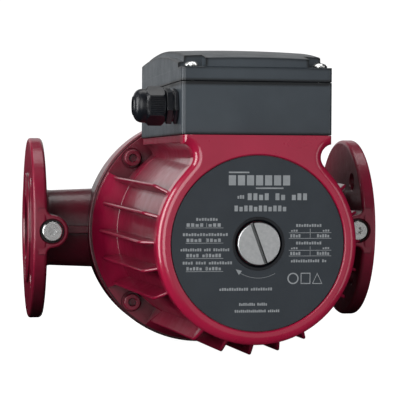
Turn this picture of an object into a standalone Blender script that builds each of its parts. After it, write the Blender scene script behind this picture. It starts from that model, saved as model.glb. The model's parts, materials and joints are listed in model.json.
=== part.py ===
"""Wet-rotor circulator pump with DN 50 flanges and a terminal box, one object for each piece.

World frame, in metres: +X runs along the pipe from the inlet flange to the outlet flange,
-Y points out of the motor's nameplate end, +Z points up to the terminal box, and the
origin is where the pipe axis crosses the motor axis.

Lengths below are in millimetres, and MM scales them as each mesh is made. A turned piece
is a profile of (radius, height) points along its own +Z. With the FRONT frame that +Z is
the world's -Y, so the height is a distance from the origin towards the nameplate.
"""

import math

import bmesh
import bpy
from mathutils import Matrix, Vector

MM = 0.001
GAP = 0.3  # clearance kept between pieces that touch

# Pipe side: DN 50, PN 6 drilling
FACE = 140.0  # half of the 280 face-to-face length
FLANGE_RADIUS = 74.0
FLANGE_THICKNESS = 13.0
RAISED_FACE_RADIUS = 45.0
RAISED_FACE_HEIGHT = 2.0
BOLT_CIRCLE_RADIUS = 55.0
BOLT_HOLE_RADIUS = 7.0
PORT_RADIUS = 25.0
SUCTION_RADIUS = 24.0
EYE_RADIUS = 22.0
NECK_RADIUS = 31.0
NECK_ROOT_RADIUS = 32.5
SUCTION_BACK = 33.0  # how far the suction channel runs behind the pipe axis
SUCTION_START, SUCTION_END = -118.0, -40.0  # where the channel bends along X
DOME_START = 6.0  # where the channel's domed end begins
PLUG_X = 123.3
BOSS_FRONT = 72.5
BOSS_RADIUS = 12.8
BOSS_FILLET = 5.0

# Pump chamber and motor flange
DRUM_RADIUS = 91.7
DRUM_FRONT = 38.0
DRUM_BACK = -6.0
SEAM_TURN = 2.5  # turns the drum's first facet off the neck's middle line, in degrees
CHAMBER_RADIUS = 64.0
CHAMBER_FLOOR = 6.0
SEAT_RADIUS = 72.0
SEAT_FLOOR = 30.0
SCREW_CIRCLE_RADIUS = 81.5
SCREW_ANGLES = (45, 135, 225, 315)
IMPELLER_RADIUS = 54.0
SHAFT_RADIUS = 6.0

# Motor housing
FLANGE_REAR = DRUM_FRONT + GAP
FLANGE_FRONT = 46.0
MOTOR_FLANGE_RADIUS = 89.5
CONE_END = 80.0
BODY_REAR_RADIUS = 72.5
BODY_FRONT_RADIUS = 66.8
BODY_FRONT = 249.7
STATOR_BORE = 63.0
FIN_STEP = 15
FIN_SECTORS = ((-30, 30), (150, 210), (240, 300))
FIN_THICKNESS = 3.0
CORE_REAR, CORE_FRONT = 85.0, 195.0
CAN_RADIUS = 31.7
LEAD_FRONT = 212.0

# Front cover
COVER_REAR = 250.0
COVER_FRONT = 266.0
RIM_RADIUS = 69.0
RIM_ROUND = 6.0
PLATE_RADIUS = 59.2
VENT_RECESS_RADIUS = 17.2
VENT_HEAD_RADIUS = 14.55
VENT_SLOT_TILT = 20

# Neck under the terminal box
NECK_TOP = 72.9
NECK_HALF_WIDTH = 51.2
NECK_TANGENT = 40  # where the neck's flank leaves the round body, in degrees
NECK_FILLET = 9.0
NECK_WAIST = 44.0
NECK_REAR = 59.6

# Terminal box
BOX_HALF_WIDTH = 51.9
BOX_FRONT, BOX_REAR = 260.4, 59.5
BOX_BOTTOM = NECK_TOP + GAP
BOX_SPLIT = 109.0
BOX_WALL = 3.0
LEDGE = 119.0
CROWN_TOP = 137.3
CROWN_FRONT_DROP = 12.0
CROWN_REAR_DROP = 2.6
CROWN_PEAK = 130.0  # how far in front of the origin the crown is highest
CAMBER = 1.2
SHELF_WIDTH = 4.0  # the narrow step along each side of the crown
CROWN_WALL = 2.6
NOTCH_INNER, NOTCH_REAR = 35.5, 242.5
FRONT_SCREW, REAR_SCREW = (44.2, 254.0), (42.0, 69.0)
BOX_SCREWS = ((-30.0, 100.0), (30.0, 218.0), (32.0, 240.0))  # the last is the earth screw
POST_RADIUS = 4.0
WELL_RADIUS = 6.0
COVER_SCREW_RADIUS = 2.5

# Cable gland
GLAND_FRONT = 238.5
GLAND_HEIGHT = 92.7
GLAND_HOLE_RADIUS = 5.6
THREAD_RADIUS = 9.3
GLAND_HEX = 22.0  # across flats
GLAND_HEX_TURN = 15.4  # how the body's hexagon stands, in degrees
GLAND_HEX_END = 60.1
GRIP_HEX = 23.4

FRONT = Matrix.Rotation(math.radians(90), 4, "X")
OUTLET = Matrix.Rotation(math.radians(90), 4, "Y")
INLET = Matrix.Rotation(math.radians(-90), 4, "Y")
UP = Matrix.Identity(4)

for old in list(bpy.data.objects):
    bpy.data.objects.remove(old)

PARTS = bpy.data.collections.new("circulator_pump")
CUTTERS = bpy.data.collections.new("cutters")
for collection in (PARTS, CUTTERS):
    bpy.context.scene.collection.children.link(collection)


def make_material(name, colour, roughness, metallic=0.0):
    material = bpy.data.materials.new(name)
    material.use_nodes = True
    shader = material.node_tree.nodes["Principled BSDF"]
    shader.inputs["Base Color"].default_value = (*colour, 1)
    shader.inputs["Roughness"].default_value = roughness
    shader.inputs["Metallic"].default_value = metallic
    return material


RED = make_material("red_paint", (0.30, 0.006, 0.03), 0.3)
RED_CAST = make_material("red_cast", (0.24, 0.005, 0.025), 0.38)
SLATE = make_material("slate_plastic", (0.075, 0.09, 0.105), 0.45)
PLATE = make_material("plate_plastic", (0.05, 0.06, 0.065), 0.5)
BLACK = make_material("black_plastic", (0.012, 0.013, 0.016), 0.4)
RUBBER = make_material("rubber", (0.02, 0.02, 0.02), 0.8)
STEEL = make_material("steel", (0.62, 0.62, 0.6), 0.3, 1.0)
DARK_STEEL = make_material("lamination_steel", (0.22, 0.22, 0.23), 0.5, 1.0)
COPPER = make_material("copper", (0.72, 0.3, 0.14), 0.35, 1.0)
ALUMINIUM = make_material("aluminium", (0.7, 0.71, 0.72), 0.4, 1.0)
CARBON = make_material("carbon", (0.04, 0.04, 0.045), 0.5)
WHITE = make_material("white_plastic", (0.75, 0.75, 0.72), 0.4)


# ------------------------------------------------------------------ shape helpers


def add(name, mesh, material=None, frame=UP, at=(0, 0, 0)):
    """Make an object of a mesh. Without a material it is a cutter or a building block."""
    obj = bpy.data.objects.new(name, mesh)
    obj.matrix_world = Matrix.Translation(Vector(at) * MM) @ frame
    if material is None:
        CUTTERS.objects.link(obj)
        obj.hide_render = True
        obj.display_type = "WIRE"
    else:
        PARTS.objects.link(obj)
        mesh.materials.append(material)
    return obj


def arc(centre, radius, start, end, count):
    """Points on an arc, from one angle to the other in degrees."""
    angles = [math.radians(start + (end - start) * i / count) for i in range(count + 1)]
    return [
        (centre[0] + radius * math.cos(a), centre[1] + radius * math.sin(a))
        for a in angles
    ]


def turned(name, profile, material=None, frame=UP, at=(0, 0, 0), steps=28):
    """Turn a profile that runs down its outer side. One that starts off the axis is closed."""
    mesh = bpy.data.meshes.new(name)
    count = len(profile)
    closed = profile[0][0] > 0
    edges = [(i, (i + 1) % count) for i in range(count if closed else count - 1)]
    mesh.from_pydata([(r * MM, 0, z * MM) for r, z in profile], edges, [])
    obj = add(name, mesh, material, frame, at)
    screw = obj.modifiers.new("turn", "SCREW")
    screw.steps = screw.render_steps = steps
    screw.use_merge_vertices = True
    screw.merge_threshold = 0.00001
    return obj


def ring(name, inner, outer, low, high, material=None, frame=UP, at=(0, 0, 0), steps=28):
    profile = [(inner, high), (outer, high), (outer, low), (inner, low)]
    return turned(name, profile, material, frame, at, steps)


def rod(name, radius, low, high, material=None, frame=UP, at=(0, 0, 0), steps=24):
    profile = [(0, high), (radius, high), (radius, low), (0, low)]
    return turned(name, profile, material, frame, at, steps)


def curve_mesh(curve):
    """The curve's mesh, with its caps welded to its sides."""
    holder = bpy.data.objects.new("holder", curve)
    mesh = bpy.data.meshes.new_from_object(holder)
    bpy.data.objects.remove(holder)
    work = bmesh.new()
    work.from_mesh(mesh)
    bmesh.ops.remove_doubles(work, verts=work.verts, dist=0.00001)
    bmesh.ops.recalc_face_normals(work, faces=work.faces)
    work.to_mesh(mesh)
    work.free()
    mesh.materials.clear()
    return mesh


def outline_mesh(name, points, low, high):
    """A closed outline of (x, y) points, extruded along Z from low to high."""
    curve = bpy.data.curves.new(name, "CURVE")
    curve.dimensions = "2D"
    curve.fill_mode = "BOTH"
    curve.extrude = (high - low) / 2 * MM
    spline = curve.splines.new("POLY")
    spline.points.add(len(points) - 1)
    for point, (x, y) in zip(spline.points, points):
        point.co = (x * MM, y * MM, 0, 1)
    spline.use_cyclic_u = True
    mesh = curve_mesh(curve)
    mesh.transform(Matrix.Translation((0, 0, (low + high) / 2 * MM)))
    return mesh


def extruded(name, points, low, high, material=None, frame=UP, at=(0, 0, 0)):
    return add(name, outline_mesh(name, points, low, high), material, frame, at)


def block(name, low, high, material=None):
    """A box between two corners given as (x, front, z)."""
    (x0, f0, z0), (x1, f1, z1) = low, high
    points = [(x0, -f0), (x0, -f1), (x1, -f1), (x1, -f0)]
    return extruded(name, points, z0, z1, material)


def rounded_rectangle(half_width, front, rear, radius, count=3):
    """An outline in X and Y with round corners, between two distances to the front."""
    inner = half_width - radius
    corners = ((inner, -rear - radius, 0), (-inner, -rear - radius, 90),
               (-inner, -front + radius, 180), (inner, -front + radius, 270))
    points = []
    for x, y, start in corners:
        points += arc((x, y), radius, start, start + 90, count)
    return points


def tube(name, route, radius, material=None, sides_resolution=3, round_end=0):
    """A round bar along a route of (x, front, z) points, with a domed end along +X if asked."""
    curve = bpy.data.curves.new(name, "CURVE")
    curve.dimensions = "3D"
    curve.bevel_depth = radius * MM
    curve.bevel_resolution = sides_resolution
    curve.use_fill_caps = True
    end_x, end_front, end_z = route[-1]
    dome = arc((0, 0), 1, 90, 0, round_end + 1)[1:-1] if round_end else []
    stations = [(*place, 1) for place in route]
    stations += [(end_x + along * radius, end_front, end_z, across) for along, across in dome]
    spline = curve.splines.new("POLY")
    spline.points.add(len(stations) - 1)
    for point, (x, front, z, scale) in zip(spline.points, stations):
        point.co = (x * MM, -front * MM, z * MM, 1)
        point.radius = scale
    return add(name, curve_mesh(curve), material)


def polygon_bar(name, corners, across_flats, low, high, material=None, frame=UP, at=(0, 0, 0)):
    """A prism with equal sides, such as a hexagon."""
    radius = across_flats / 2 / math.cos(math.pi / corners)
    points = arc((0, 0), radius, 0, 360, corners)[:-1]
    return extruded(name, points, low, high, material, frame, at)


def cluster(name, mesh, matrices):
    """One cutter or block made of copies of a mesh."""
    work = bmesh.new()
    for matrix in matrices:
        copy = mesh.copy()
        copy.transform(matrix)
        work.from_mesh(copy)
    joined = bpy.data.meshes.new(name)
    work.to_mesh(joined)
    work.free()
    return add(name, joined)


def boolean(target, operation, tools):
    for tool in tools:
        modifier = target.modifiers.new(tool.name, "BOOLEAN")
        modifier.operation = operation
        modifier.object = tool
        modifier.solver = "EXACT"


def cut(target, *tools):
    boolean(target, "DIFFERENCE", tools)


def join(target, *tools):
    boolean(target, "UNION", tools)


def cylinder_mesh(name, radius, low, high, steps=12):
    return outline_mesh(name, arc((0, 0), radius, 0, 360, steps)[:-1], low, high)


def around_front_axis(angles, radius):
    """Places on a circle round the motor axis, turned to face the front."""
    return [
        Matrix.Translation(
            Vector((math.cos(math.radians(a)), 0, math.sin(math.radians(a)))) * radius * MM
        )
        @ FRONT
        for a in angles
    ]


# ------------------------------------------------------------------ pump housing


def pipe_profile(inner_end):
    """Flange and neck, outwards along the pipe, from the face back to a flat or round end."""
    back = FACE - FLANGE_THICKNESS
    return [
        (0, FACE),
        (RAISED_FACE_RADIUS, FACE),
        (RAISED_FACE_RADIUS, FACE - RAISED_FACE_HEIGHT),
        *arc((FLANGE_RADIUS - 2, FACE - RAISED_FACE_HEIGHT - 2), 2, 90, 0, 2),
        *arc((FLANGE_RADIUS - 3, back + 3), 3, 0, -90, 2),
        *arc((NECK_RADIUS + 7, back - 7), 7, 90, 180, 3),
        (NECK_ROOT_RADIUS, FACE - 57),
        *inner_end,
    ]


def suction_route(count=4):
    """The suction channel's centre line: an S bend behind the impeller, then straight in."""
    length = SUCTION_END - SUCTION_START
    radius = (length**2 + SUCTION_BACK**2) / (4 * SUCTION_BACK)
    sweep = math.degrees(2 * math.atan(SUCTION_BACK / length))
    first = arc((SUCTION_START, -radius), radius, 90, 90 - sweep, count)
    last_centre = (SUCTION_END, radius - SUCTION_BACK)
    second = arc(last_centre, radius, 270 - sweep, 270, count)
    route = [(SUCTION_START - 26, 0)] + first + second[1:] + [(DOME_START, -SUCTION_BACK)]
    return [(x, front, 0) for x, front in route]


def boss_outline():
    """The gauge boss seen from the front: a round lobe that flares into the flange's rear face."""
    rear = FACE - FLANGE_THICKNESS + GAP
    shoulder = BOSS_RADIUS + BOSS_FILLET
    flare = arc((rear - BOSS_FILLET, shoulder), BOSS_FILLET, 0, -90, 3)
    lobe = arc((PLUG_X, 0), BOSS_RADIUS, 105, 255, 8)
    mirrored = [(x, -z) for x, z in flare[::-1]]
    root = rear + FLANGE_THICKNESS / 2
    return [(root, shoulder), *flare, *lobe, *mirrored, (root, -shoulder)]


def build_pump_housing():
    drum = turned(
        "pump_housing",
        [
            (0, DRUM_FRONT),
            (DRUM_RADIUS - 1, DRUM_FRONT),
            (DRUM_RADIUS, DRUM_FRONT - 1),
            (DRUM_RADIUS, 14),
            *arc((DRUM_RADIUS - 12, 6), 12, 0, -90, 5),
            (0, DRUM_BACK),
        ],
        RED_CAST,
        FRONT @ Matrix.Rotation(math.radians(SEAM_TURN), 4, "Z"),
        steps=52,
    )
    round_end = arc((0, 45), NECK_ROOT_RADIUS, 0, -90, 5)
    outlet_neck = turned("outlet_neck", pipe_profile(round_end), None, OUTLET, steps=28)
    flat_end = [(NECK_ROOT_RADIUS, 80), (0, 80)]
    inlet_neck = turned("inlet_neck", pipe_profile(flat_end), None, INLET, steps=28)
    channel = tube("suction_channel", suction_route()[1:], NECK_RADIUS - 0.4, None, 6, 3)
    boss = outline_mesh("boss", boss_outline(), 8, BOSS_FRONT)
    half_turn = Matrix.Rotation(math.pi, 4, "Y")
    bosses = cluster("gauge_bosses", boss, [FRONT, half_turn @ FRONT])
    ribs = [
        block(f"neck_rib_{start}", (start, 26, -3.3), (start + 33, 35.6, 2.8)) for start in (-118, 85)
    ]
    collar = rod("eye_collar", 29, 8 - SUCTION_BACK, 2, None, FRONT, steps=28)
    join(drum, outlet_neck, inlet_neck, channel, collar, bosses, *ribs)

    chamber = turned(
        "chamber",
        [
            (0, DRUM_FRONT + 5),
            (SEAT_RADIUS, DRUM_FRONT + 5),
            (SEAT_RADIUS, SEAT_FLOOR),
            (CHAMBER_RADIUS, SEAT_FLOOR),
            *arc((CHAMBER_RADIUS - 5, CHAMBER_FLOOR + 5), 5, 0, -90, 3),
            (27.0 + GAP, CHAMBER_FLOOR),
            (27.0 + GAP, 0.2),
            (EYE_RADIUS, 0.2),
            (EYE_RADIUS, 3 - SUCTION_BACK),
            (0, 3 - SUCTION_BACK),
        ],
        None,
        FRONT,
        steps=36,
    )
    outlet_bore = rod("outlet_bore", PORT_RADIUS, 42, FACE + 5, None, OUTLET, steps=24)
    inlet_bore = rod("inlet_bore", PORT_RADIUS, -SUCTION_START - 6, FACE + 5, None, INLET, steps=24)
    inlet_channel = tube("inlet_channel", suction_route(), SUCTION_RADIUS, None, 6, 3)
    hole = cylinder_mesh("bolt_hole", BOLT_HOLE_RADIUS, FACE - FLANGE_THICKNESS - 4, FACE + 4)
    places = [
        side @ Matrix.Rotation(math.radians(45 + 90 * i), 4, "Z")
        @ Matrix.Translation((BOLT_CIRCLE_RADIUS * MM, 0, 0))
        for side in (OUTLET, INLET)
        for i in range(4)
    ]
    bolt_holes = cluster("bolt_holes", hole, places)
    tapping = cylinder_mesh("tapping", 4.3, 18, DRUM_FRONT + 4)
    tappings = cluster("tappings", tapping, around_front_axis(SCREW_ANGLES, SCREW_CIRCLE_RADIUS))
    cut(drum, chamber, outlet_bore, inlet_bore, inlet_channel)
    for side in (-1, 1):
        gauge_hole = turned(
            f"gauge_hole_{side}",
            [(0, 76), (9.3, 76), (9.3, 69.8), (6.8, 69.8), (6.8, 52), (3.5, 50), (3.5, 15), (0, 15)],
            None,
            FRONT,
            at=(side * PLUG_X, 0, 0),
            steps=18,
        )
        cut(drum, gauge_hole)
    cut(drum, bolt_holes, tappings)


def build_gauge_plugs():
    for side, word in ((-1, "left"), (1, "right")):
        place = (side * PLUG_X, 0, 0)
        plug = turned(
            f"gauge_plug_{word}",
            [(0, 74), (7.0, 74), (7.8, 73.4), (7.8, 71.2), (6.5, 71.2), (6.5, 56), (0, 56)],
            STEEL,
            FRONT,
            place,
            steps=20,
        )
        cut(plug, polygon_bar(f"plug_socket_{word}", 6, 6, 71.5, 76, None, FRONT, place))
        ring(f"gauge_seal_{word}", 6.8, 9.0, 70.1, 70.9, RUBBER, FRONT, place, 16)


# ------------------------------------------------------------------ hydraulics and rotor


def build_hydraulics():
    ring("housing_gasket", 64.6, SEAT_RADIUS - GAP, SEAT_FLOOR + GAP, 32.0, RUBBER, FRONT)
    ring("neck_ring", 23.9, 27.0, 0.5, CHAMBER_FLOOR - GAP, STEEL, FRONT)
    plate_rear, plate_front = 32.3, DRUM_FRONT
    turned(
        "bearing_plate",
        [
            (11.3, 54),
            (16, 54),
            (16, 44),
            (20, plate_front),
            (SEAT_RADIUS - GAP, plate_front),
            (SEAT_RADIUS - GAP, plate_rear),
            (11.3, plate_rear),
        ],
        STEEL,
        FRONT,
    )
    ring("pump_side_bearing", SHAFT_RADIUS + GAP, 11.0, 33, 53, CARBON, FRONT, steps=18)
    ring("can_gasket", 40, 60, 38.3, 40.0, RUBBER, FRONT)
    inner = CAN_RADIUS - 0.8
    turned(
        "rotor_can",
        [
            (8.3, 252),
            (12.5, 252),
            (12.5, 233.2),
            (CAN_RADIUS, 233.2),
            (CAN_RADIUS, 41.1),
            (60, 41.1),
            (60, 40.3),
            (inner, 40.3),
            (inner, 232.2),
            (8.3, 232.2),
        ],
        STEEL,
        FRONT,
    )
    turned(
        "vent_bearing_holder",
        [
            (11.3, 228),
            (14, 228),
            (14, 224),
            (inner - GAP, 224),
            (inner - GAP, 218),
            (14, 218),
            (14, 208),
            (11.3, 208),
        ],
        STEEL,
        FRONT,
        steps=24,
    )
    ring("vent_side_bearing", SHAFT_RADIUS + GAP, 11.0, 209, 227, CARBON, FRONT, steps=18)


def vane_mesh(count=4):
    """One impeller vane: a backward curve of constant thickness, seen along the shaft."""
    inner, outer, sweep, half = 20.0, IMPELLER_RADIUS - 0.6, 80.0, 1.1
    centre = []
    for i in range(count + 1):
        t = i / count
        angle = math.radians(-sweep * t)
        radius = inner + (outer - inner) * t
        centre.append((radius * math.cos(angle), radius * math.sin(angle)))
    left, right = [], []
    for i, (x, y) in enumerate(centre):
        before, after = centre[max(i - 1, 0)], centre[min(i + 1, count)]
        dx, dy = after[0] - before[0], after[1] - before[1]
        length = math.hypot(dx, dy)
        left.append((x - dy / length * half, y + dx / length * half))
        right.append((x + dy / length * half, y - dx / length * half))
    return outline_mesh("vane", left + right[::-1], 9.5, 25)


def build_rotor():
    shaft = turned(
        "shaft",
        [(0, 238), (5, 238), (6, 237), (6, 8.3), (4.7, 8.3), (4.7, -4), (0, -4)],
        STEEL,
        FRONT,
        steps=20,
    )
    slot = block("shaft_slot", (-8, 235.5, -0.9), (8, 240, 0.9))
    cut(shaft, slot)

    impeller = turned(
        "impeller",
        [
            (SHAFT_RADIUS + GAP, 30),
            (12, 30),
            (12.5, 27),
            (IMPELLER_RADIUS, 27),
            (IMPELLER_RADIUS, 24.5),
            (13, 24.5),
            (10, 8.6),
            (SHAFT_RADIUS + GAP, 8.6),
        ],
        STEEL,
        FRONT,
    )
    shroud = turned(
        "front_shroud",
        [(20.5, 10.5), (IMPELLER_RADIUS, 10.5), (IMPELLER_RADIUS, 8), (23.4, 8), (23.4, 0.8), (20.5, 0.8)],
        None,
        FRONT,
    )
    turns = [Matrix.Rotation(math.radians(60 * i), 4, "Z") for i in range(6)]
    vanes = cluster("vanes", vane_mesh(), [FRONT @ turn for turn in turns])
    join(impeller, vanes, shroud)
    nut = polygon_bar("impeller_nut", 6, 15, 0, 8.2, STEEL, FRONT)
    cut(nut, rod("nut_hole", 5.0, -6, 12, None, FRONT, steps=24))
    ring("thrust_ring", SHAFT_RADIUS + GAP, 13, 54.6, 59.6, CARBON, FRONT, steps=18)

    core = CAN_RADIUS - 2.4
    ring("rotor_core", SHAFT_RADIUS + GAP, core, CORE_REAR, CORE_FRONT, DARK_STEEL, FRONT)
    ring("rotor_sleeve", core + GAP, core + 1.0, CORE_REAR - 7, CORE_FRONT + 7, STEEL, FRONT)
    ends = (("pump", CORE_REAR - 6.3, CORE_REAR - GAP), ("vent", CORE_FRONT + GAP, CORE_FRONT + 6.3))
    for word, low, high in ends:
        ring(f"end_ring_{word}_side", 12, core, low, high, ALUMINIUM, FRONT)
    clip_rear = CORE_FRONT + 0.6
    ring("shaft_circlip", SHAFT_RADIUS + GAP, 8.5, clip_rear, clip_rear + 1.6, STEEL, FRONT, steps=16)


# ------------------------------------------------------------------ motor


def slot_mesh(name, inner, outer, width, low, high):
    half = width / 2
    return outline_mesh(name, [(inner, -half), (outer, -half), (outer, half), (inner, half)], low, high)


def build_stator():
    turns = [FRONT @ Matrix.Rotation(math.radians(30 * i), 4, "Z") for i in range(12)]
    core = ring(
        "stator_core", CAN_RADIUS + GAP, STATOR_BORE - GAP, CORE_REAR, CORE_FRONT, DARK_STEEL, FRONT
    )
    slot = slot_mesh("slot", 36, 52, 7, CORE_REAR - 3, CORE_FRONT + 3)
    cut(core, cluster("slots", slot, turns))
    winding = ring("stator_winding", 34, 58, 72, CORE_REAR - GAP, COPPER, FRONT)
    head = ring("winding_head", 34, 58, CORE_FRONT + GAP, 206, None, FRONT)
    bar = slot_mesh("bar", 36 + GAP, 52 - GAP, 7 - 2 * GAP, CORE_REAR - 4, CORE_FRONT + 4)
    join(winding, cluster("bars", bar, turns), head)


def neck_outline(inset=0.0, low_angle=None):
    """The outline, seen from the front, of the round body and the neck that carries the box.

    Each flank leaves the round body on a tangent, turns round a fillet at the waist, and
    flares out to the box. With low_angle the outline closes straight through the body.
    """
    radius = RIM_RADIUS - inset
    tangent = math.radians(NECK_TANGENT)
    fillet = NECK_FILLET + inset
    centre_x = NECK_WAIST + NECK_FILLET
    centre_z = (RIM_RADIUS + NECK_FILLET - centre_x * math.cos(tangent)) / math.sin(tangent)
    half_width = NECK_HALF_WIDTH - inset / 2
    top_angle = math.degrees(math.acos((half_width - centre_x) / fillet))
    flank = arc((centre_x, centre_z), fillet, 180 + NECK_TANGENT, top_angle, 8)
    right = flank + [(half_width, NECK_TOP)]
    left = [(-x, z) for x, z in right][::-1]
    if low_angle is not None:
        side = math.radians(low_angle)
        foot = (radius * math.cos(side), radius * math.sin(side))
        return [foot, *right, *left, (-foot[0], foot[1])]
    body = arc((0, 0), radius, 180 - NECK_TANGENT, 360 + NECK_TANGENT, 34)
    return right + left + body


def fin_mesh():
    """One fin, from the bore's wall out to an edge that leans in and is chamfered at the front."""
    points = [
        (STATOR_BORE + 1.5, 44),
        (85.5, 44),
        (78.3, 237),
        (68.3, BODY_FRONT),
        (STATOR_BORE + 1.5, BODY_FRONT),
    ]
    return outline_mesh("fin", points, -FIN_THICKNESS / 2, FIN_THICKNESS / 2)


def fin_place(angle):
    """A fin's local X points out from the motor axis, its local Y to the front."""
    a = math.radians(angle)
    columns = Matrix(
        (
            (math.cos(a), 0, math.sin(a), 0),
            (0, -1, 0, 0),
            (math.sin(a), 0, -math.cos(a), 0),
            (0, 0, 0, 1),
        )
    )
    return columns


def build_motor_housing():
    housing = turned(
        "motor_housing",
        [
            (0, BODY_FRONT),
            (BODY_FRONT_RADIUS, BODY_FRONT),
            (BODY_REAR_RADIUS, CONE_END),
            (MOTOR_FLANGE_RADIUS - 1, FLANGE_FRONT + 1.5),
            (MOTOR_FLANGE_RADIUS, FLANGE_FRONT),
            (MOTOR_FLANGE_RADIUS, FLANGE_REAR),
            (0, FLANGE_REAR),
        ],
        RED_CAST,
        FRONT,
        steps=60,
    )
    half = 15 - math.degrees(FIN_THICKNESS / 2 / 80)
    sector = arc((0, 0), BODY_REAR_RADIUS + 0.8, -half, half, 5)
    sector += arc((0, 0), DRUM_RADIUS + 5, half, -half, 5)
    pocket = outline_mesh("pocket", sector, FLANGE_FRONT, CONE_END + 4)
    pocket_turns = [Matrix.Rotation(math.radians(a), 4, "Z") for a in SCREW_ANGLES]
    cut(housing, cluster("pockets", pocket, [FRONT @ turn for turn in pocket_turns]))

    angles = [a for low, high in FIN_SECTORS for a in range(low, high + 1, FIN_STEP)]
    fins = cluster("fins", fin_mesh(), [fin_place(a) for a in angles])
    neck = extruded("neck", neck_outline(1.5, 35), NECK_REAR, BODY_FRONT, None, FRONT)
    join(housing, fins, neck)

    bore = rod("stator_bore", STATOR_BORE, FLANGE_REAR - 5, BODY_FRONT + 5, None, FRONT, steps=48)
    clearance = cylinder_mesh("clearance", 4.6, FLANGE_REAR - 4, FLANGE_FRONT + 4)
    clearances = cluster(
        "clearances", clearance, around_front_axis(SCREW_ANGLES, SCREW_CIRCLE_RADIUS)
    )
    seat = NECK_TOP - 1.5
    lead_hole = turned(
        "lead_hole",
        [(0, seat + 8), (14.3, seat + 8), (14.3, seat), (8, seat), (8, 50), (0, 50)],
        at=(0, -LEAD_FRONT, 0),
        steps=20,
    )
    box_room = block("box_room", (-60, FLANGE_FRONT + 1, NECK_TOP), (60, CONE_END + 10, 100))
    cut(housing, box_room, bore, clearances, lead_hole)
    for number, (x, front) in enumerate(BOX_SCREWS, 1):
        place = (x, -front, 0)
        cut(housing, rod(f"neck_tapping_{number}", 2.8, 64.5, NECK_TOP + 5, at=place, steps=10))


def build_front_cover():
    cover = extruded("front_cover", neck_outline(), COVER_REAR, COVER_FRONT, RED, FRONT)
    work = bmesh.new()
    work.from_mesh(cover.data)
    bmesh.ops.dissolve_limit(work, angle_limit=0.01, verts=work.verts, edges=work.edges)
    front = COVER_FRONT * MM - 0.00001
    top = NECK_TOP * MM - 0.00001
    rim = [
        edge
        for edge in work.edges
        if all(v.co.z > front for v in edge.verts) and any(v.co.y < top for v in edge.verts)
    ]
    bmesh.ops.bevel(
        work, geom=rim, offset=RIM_ROUND * MM, segments=3, profile=0.5, affect="EDGES"
    )
    work.to_mesh(cover.data)
    work.free()
    back = rod("cover_hollow", 62, COVER_REAR - 5, 255, None, FRONT, steps=40)
    front_steps = turned(
        "plate_recess",
        [
            (0, COVER_FRONT + 5),
            (PLATE_RADIUS + 0.4, COVER_FRONT + 5),
            (PLATE_RADIUS + 0.4, 263),
            (VENT_RECESS_RADIUS + GAP, 263),
            (VENT_RECESS_RADIUS + GAP, 259.5),
            (13, 259.5),
            (13, COVER_REAR - 5),
            (0, COVER_REAR - 5),
        ],
        None,
        FRONT,
        steps=48,
    )
    cut(cover, back, front_steps)
    ring("nameplate", VENT_RECESS_RADIUS, PLATE_RADIUS, 263.3, 264.7, PLATE, FRONT, steps=48)


def build_motor_screws():
    head_floor = FLANGE_FRONT + GAP
    for number, place in enumerate(around_front_axis(SCREW_ANGLES, SCREW_CIRCLE_RADIUS), 1):
        centre = place.translation / MM
        screw = turned(
            f"motor_screw_{number}",
            [
                (0, head_floor + 8),
                (5.9, head_floor + 8),
                (6.5, head_floor + 7.4),
                (6.5, head_floor),
                (4.0, head_floor),
                (4.0, 21),
                (0, 21),
            ],
            RED,
            FRONT,
            centre,
            steps=16,
        )
        low, high = head_floor + 4, head_floor + 10
        cut(screw, polygon_bar(f"motor_socket_{number}", 6, 6, low, high, None, FRONT, centre))


def build_vent():
    plug = turned(
        "vent_plug",
        [
            (0, 267.4),
            (VENT_HEAD_RADIUS - 0.6, 267.4),
            (VENT_HEAD_RADIUS, 266.8),
            (VENT_HEAD_RADIUS, 262),
            (12.4, 262),
            (12.4, 255.6),
            (8.0, 255.6),
            (8.0, 243),
            (0, 243),
        ],
        STEEL,
        FRONT,
    )
    half = 1.2
    points = [(-20, -half), (20, -half), (20, half), (-20, half)]
    slot = outline_mesh("vent_slot", points, 265, 270)
    slot.transform(Matrix.Rotation(math.radians(90 + VENT_SLOT_TILT), 4, "Z"))
    cut(plug, add("vent_slot", slot, None, FRONT))
    ring("vent_o_ring", 8.4, 12.3, 252.4, 255.3, RUBBER, FRONT, steps=20)


# ------------------------------------------------------------------ terminal box


def cover_screw_places():
    return [
        (side * x, -front, 0) for x, front in (FRONT_SCREW, REAR_SCREW) for side in (-1, 1)
    ]


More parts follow.
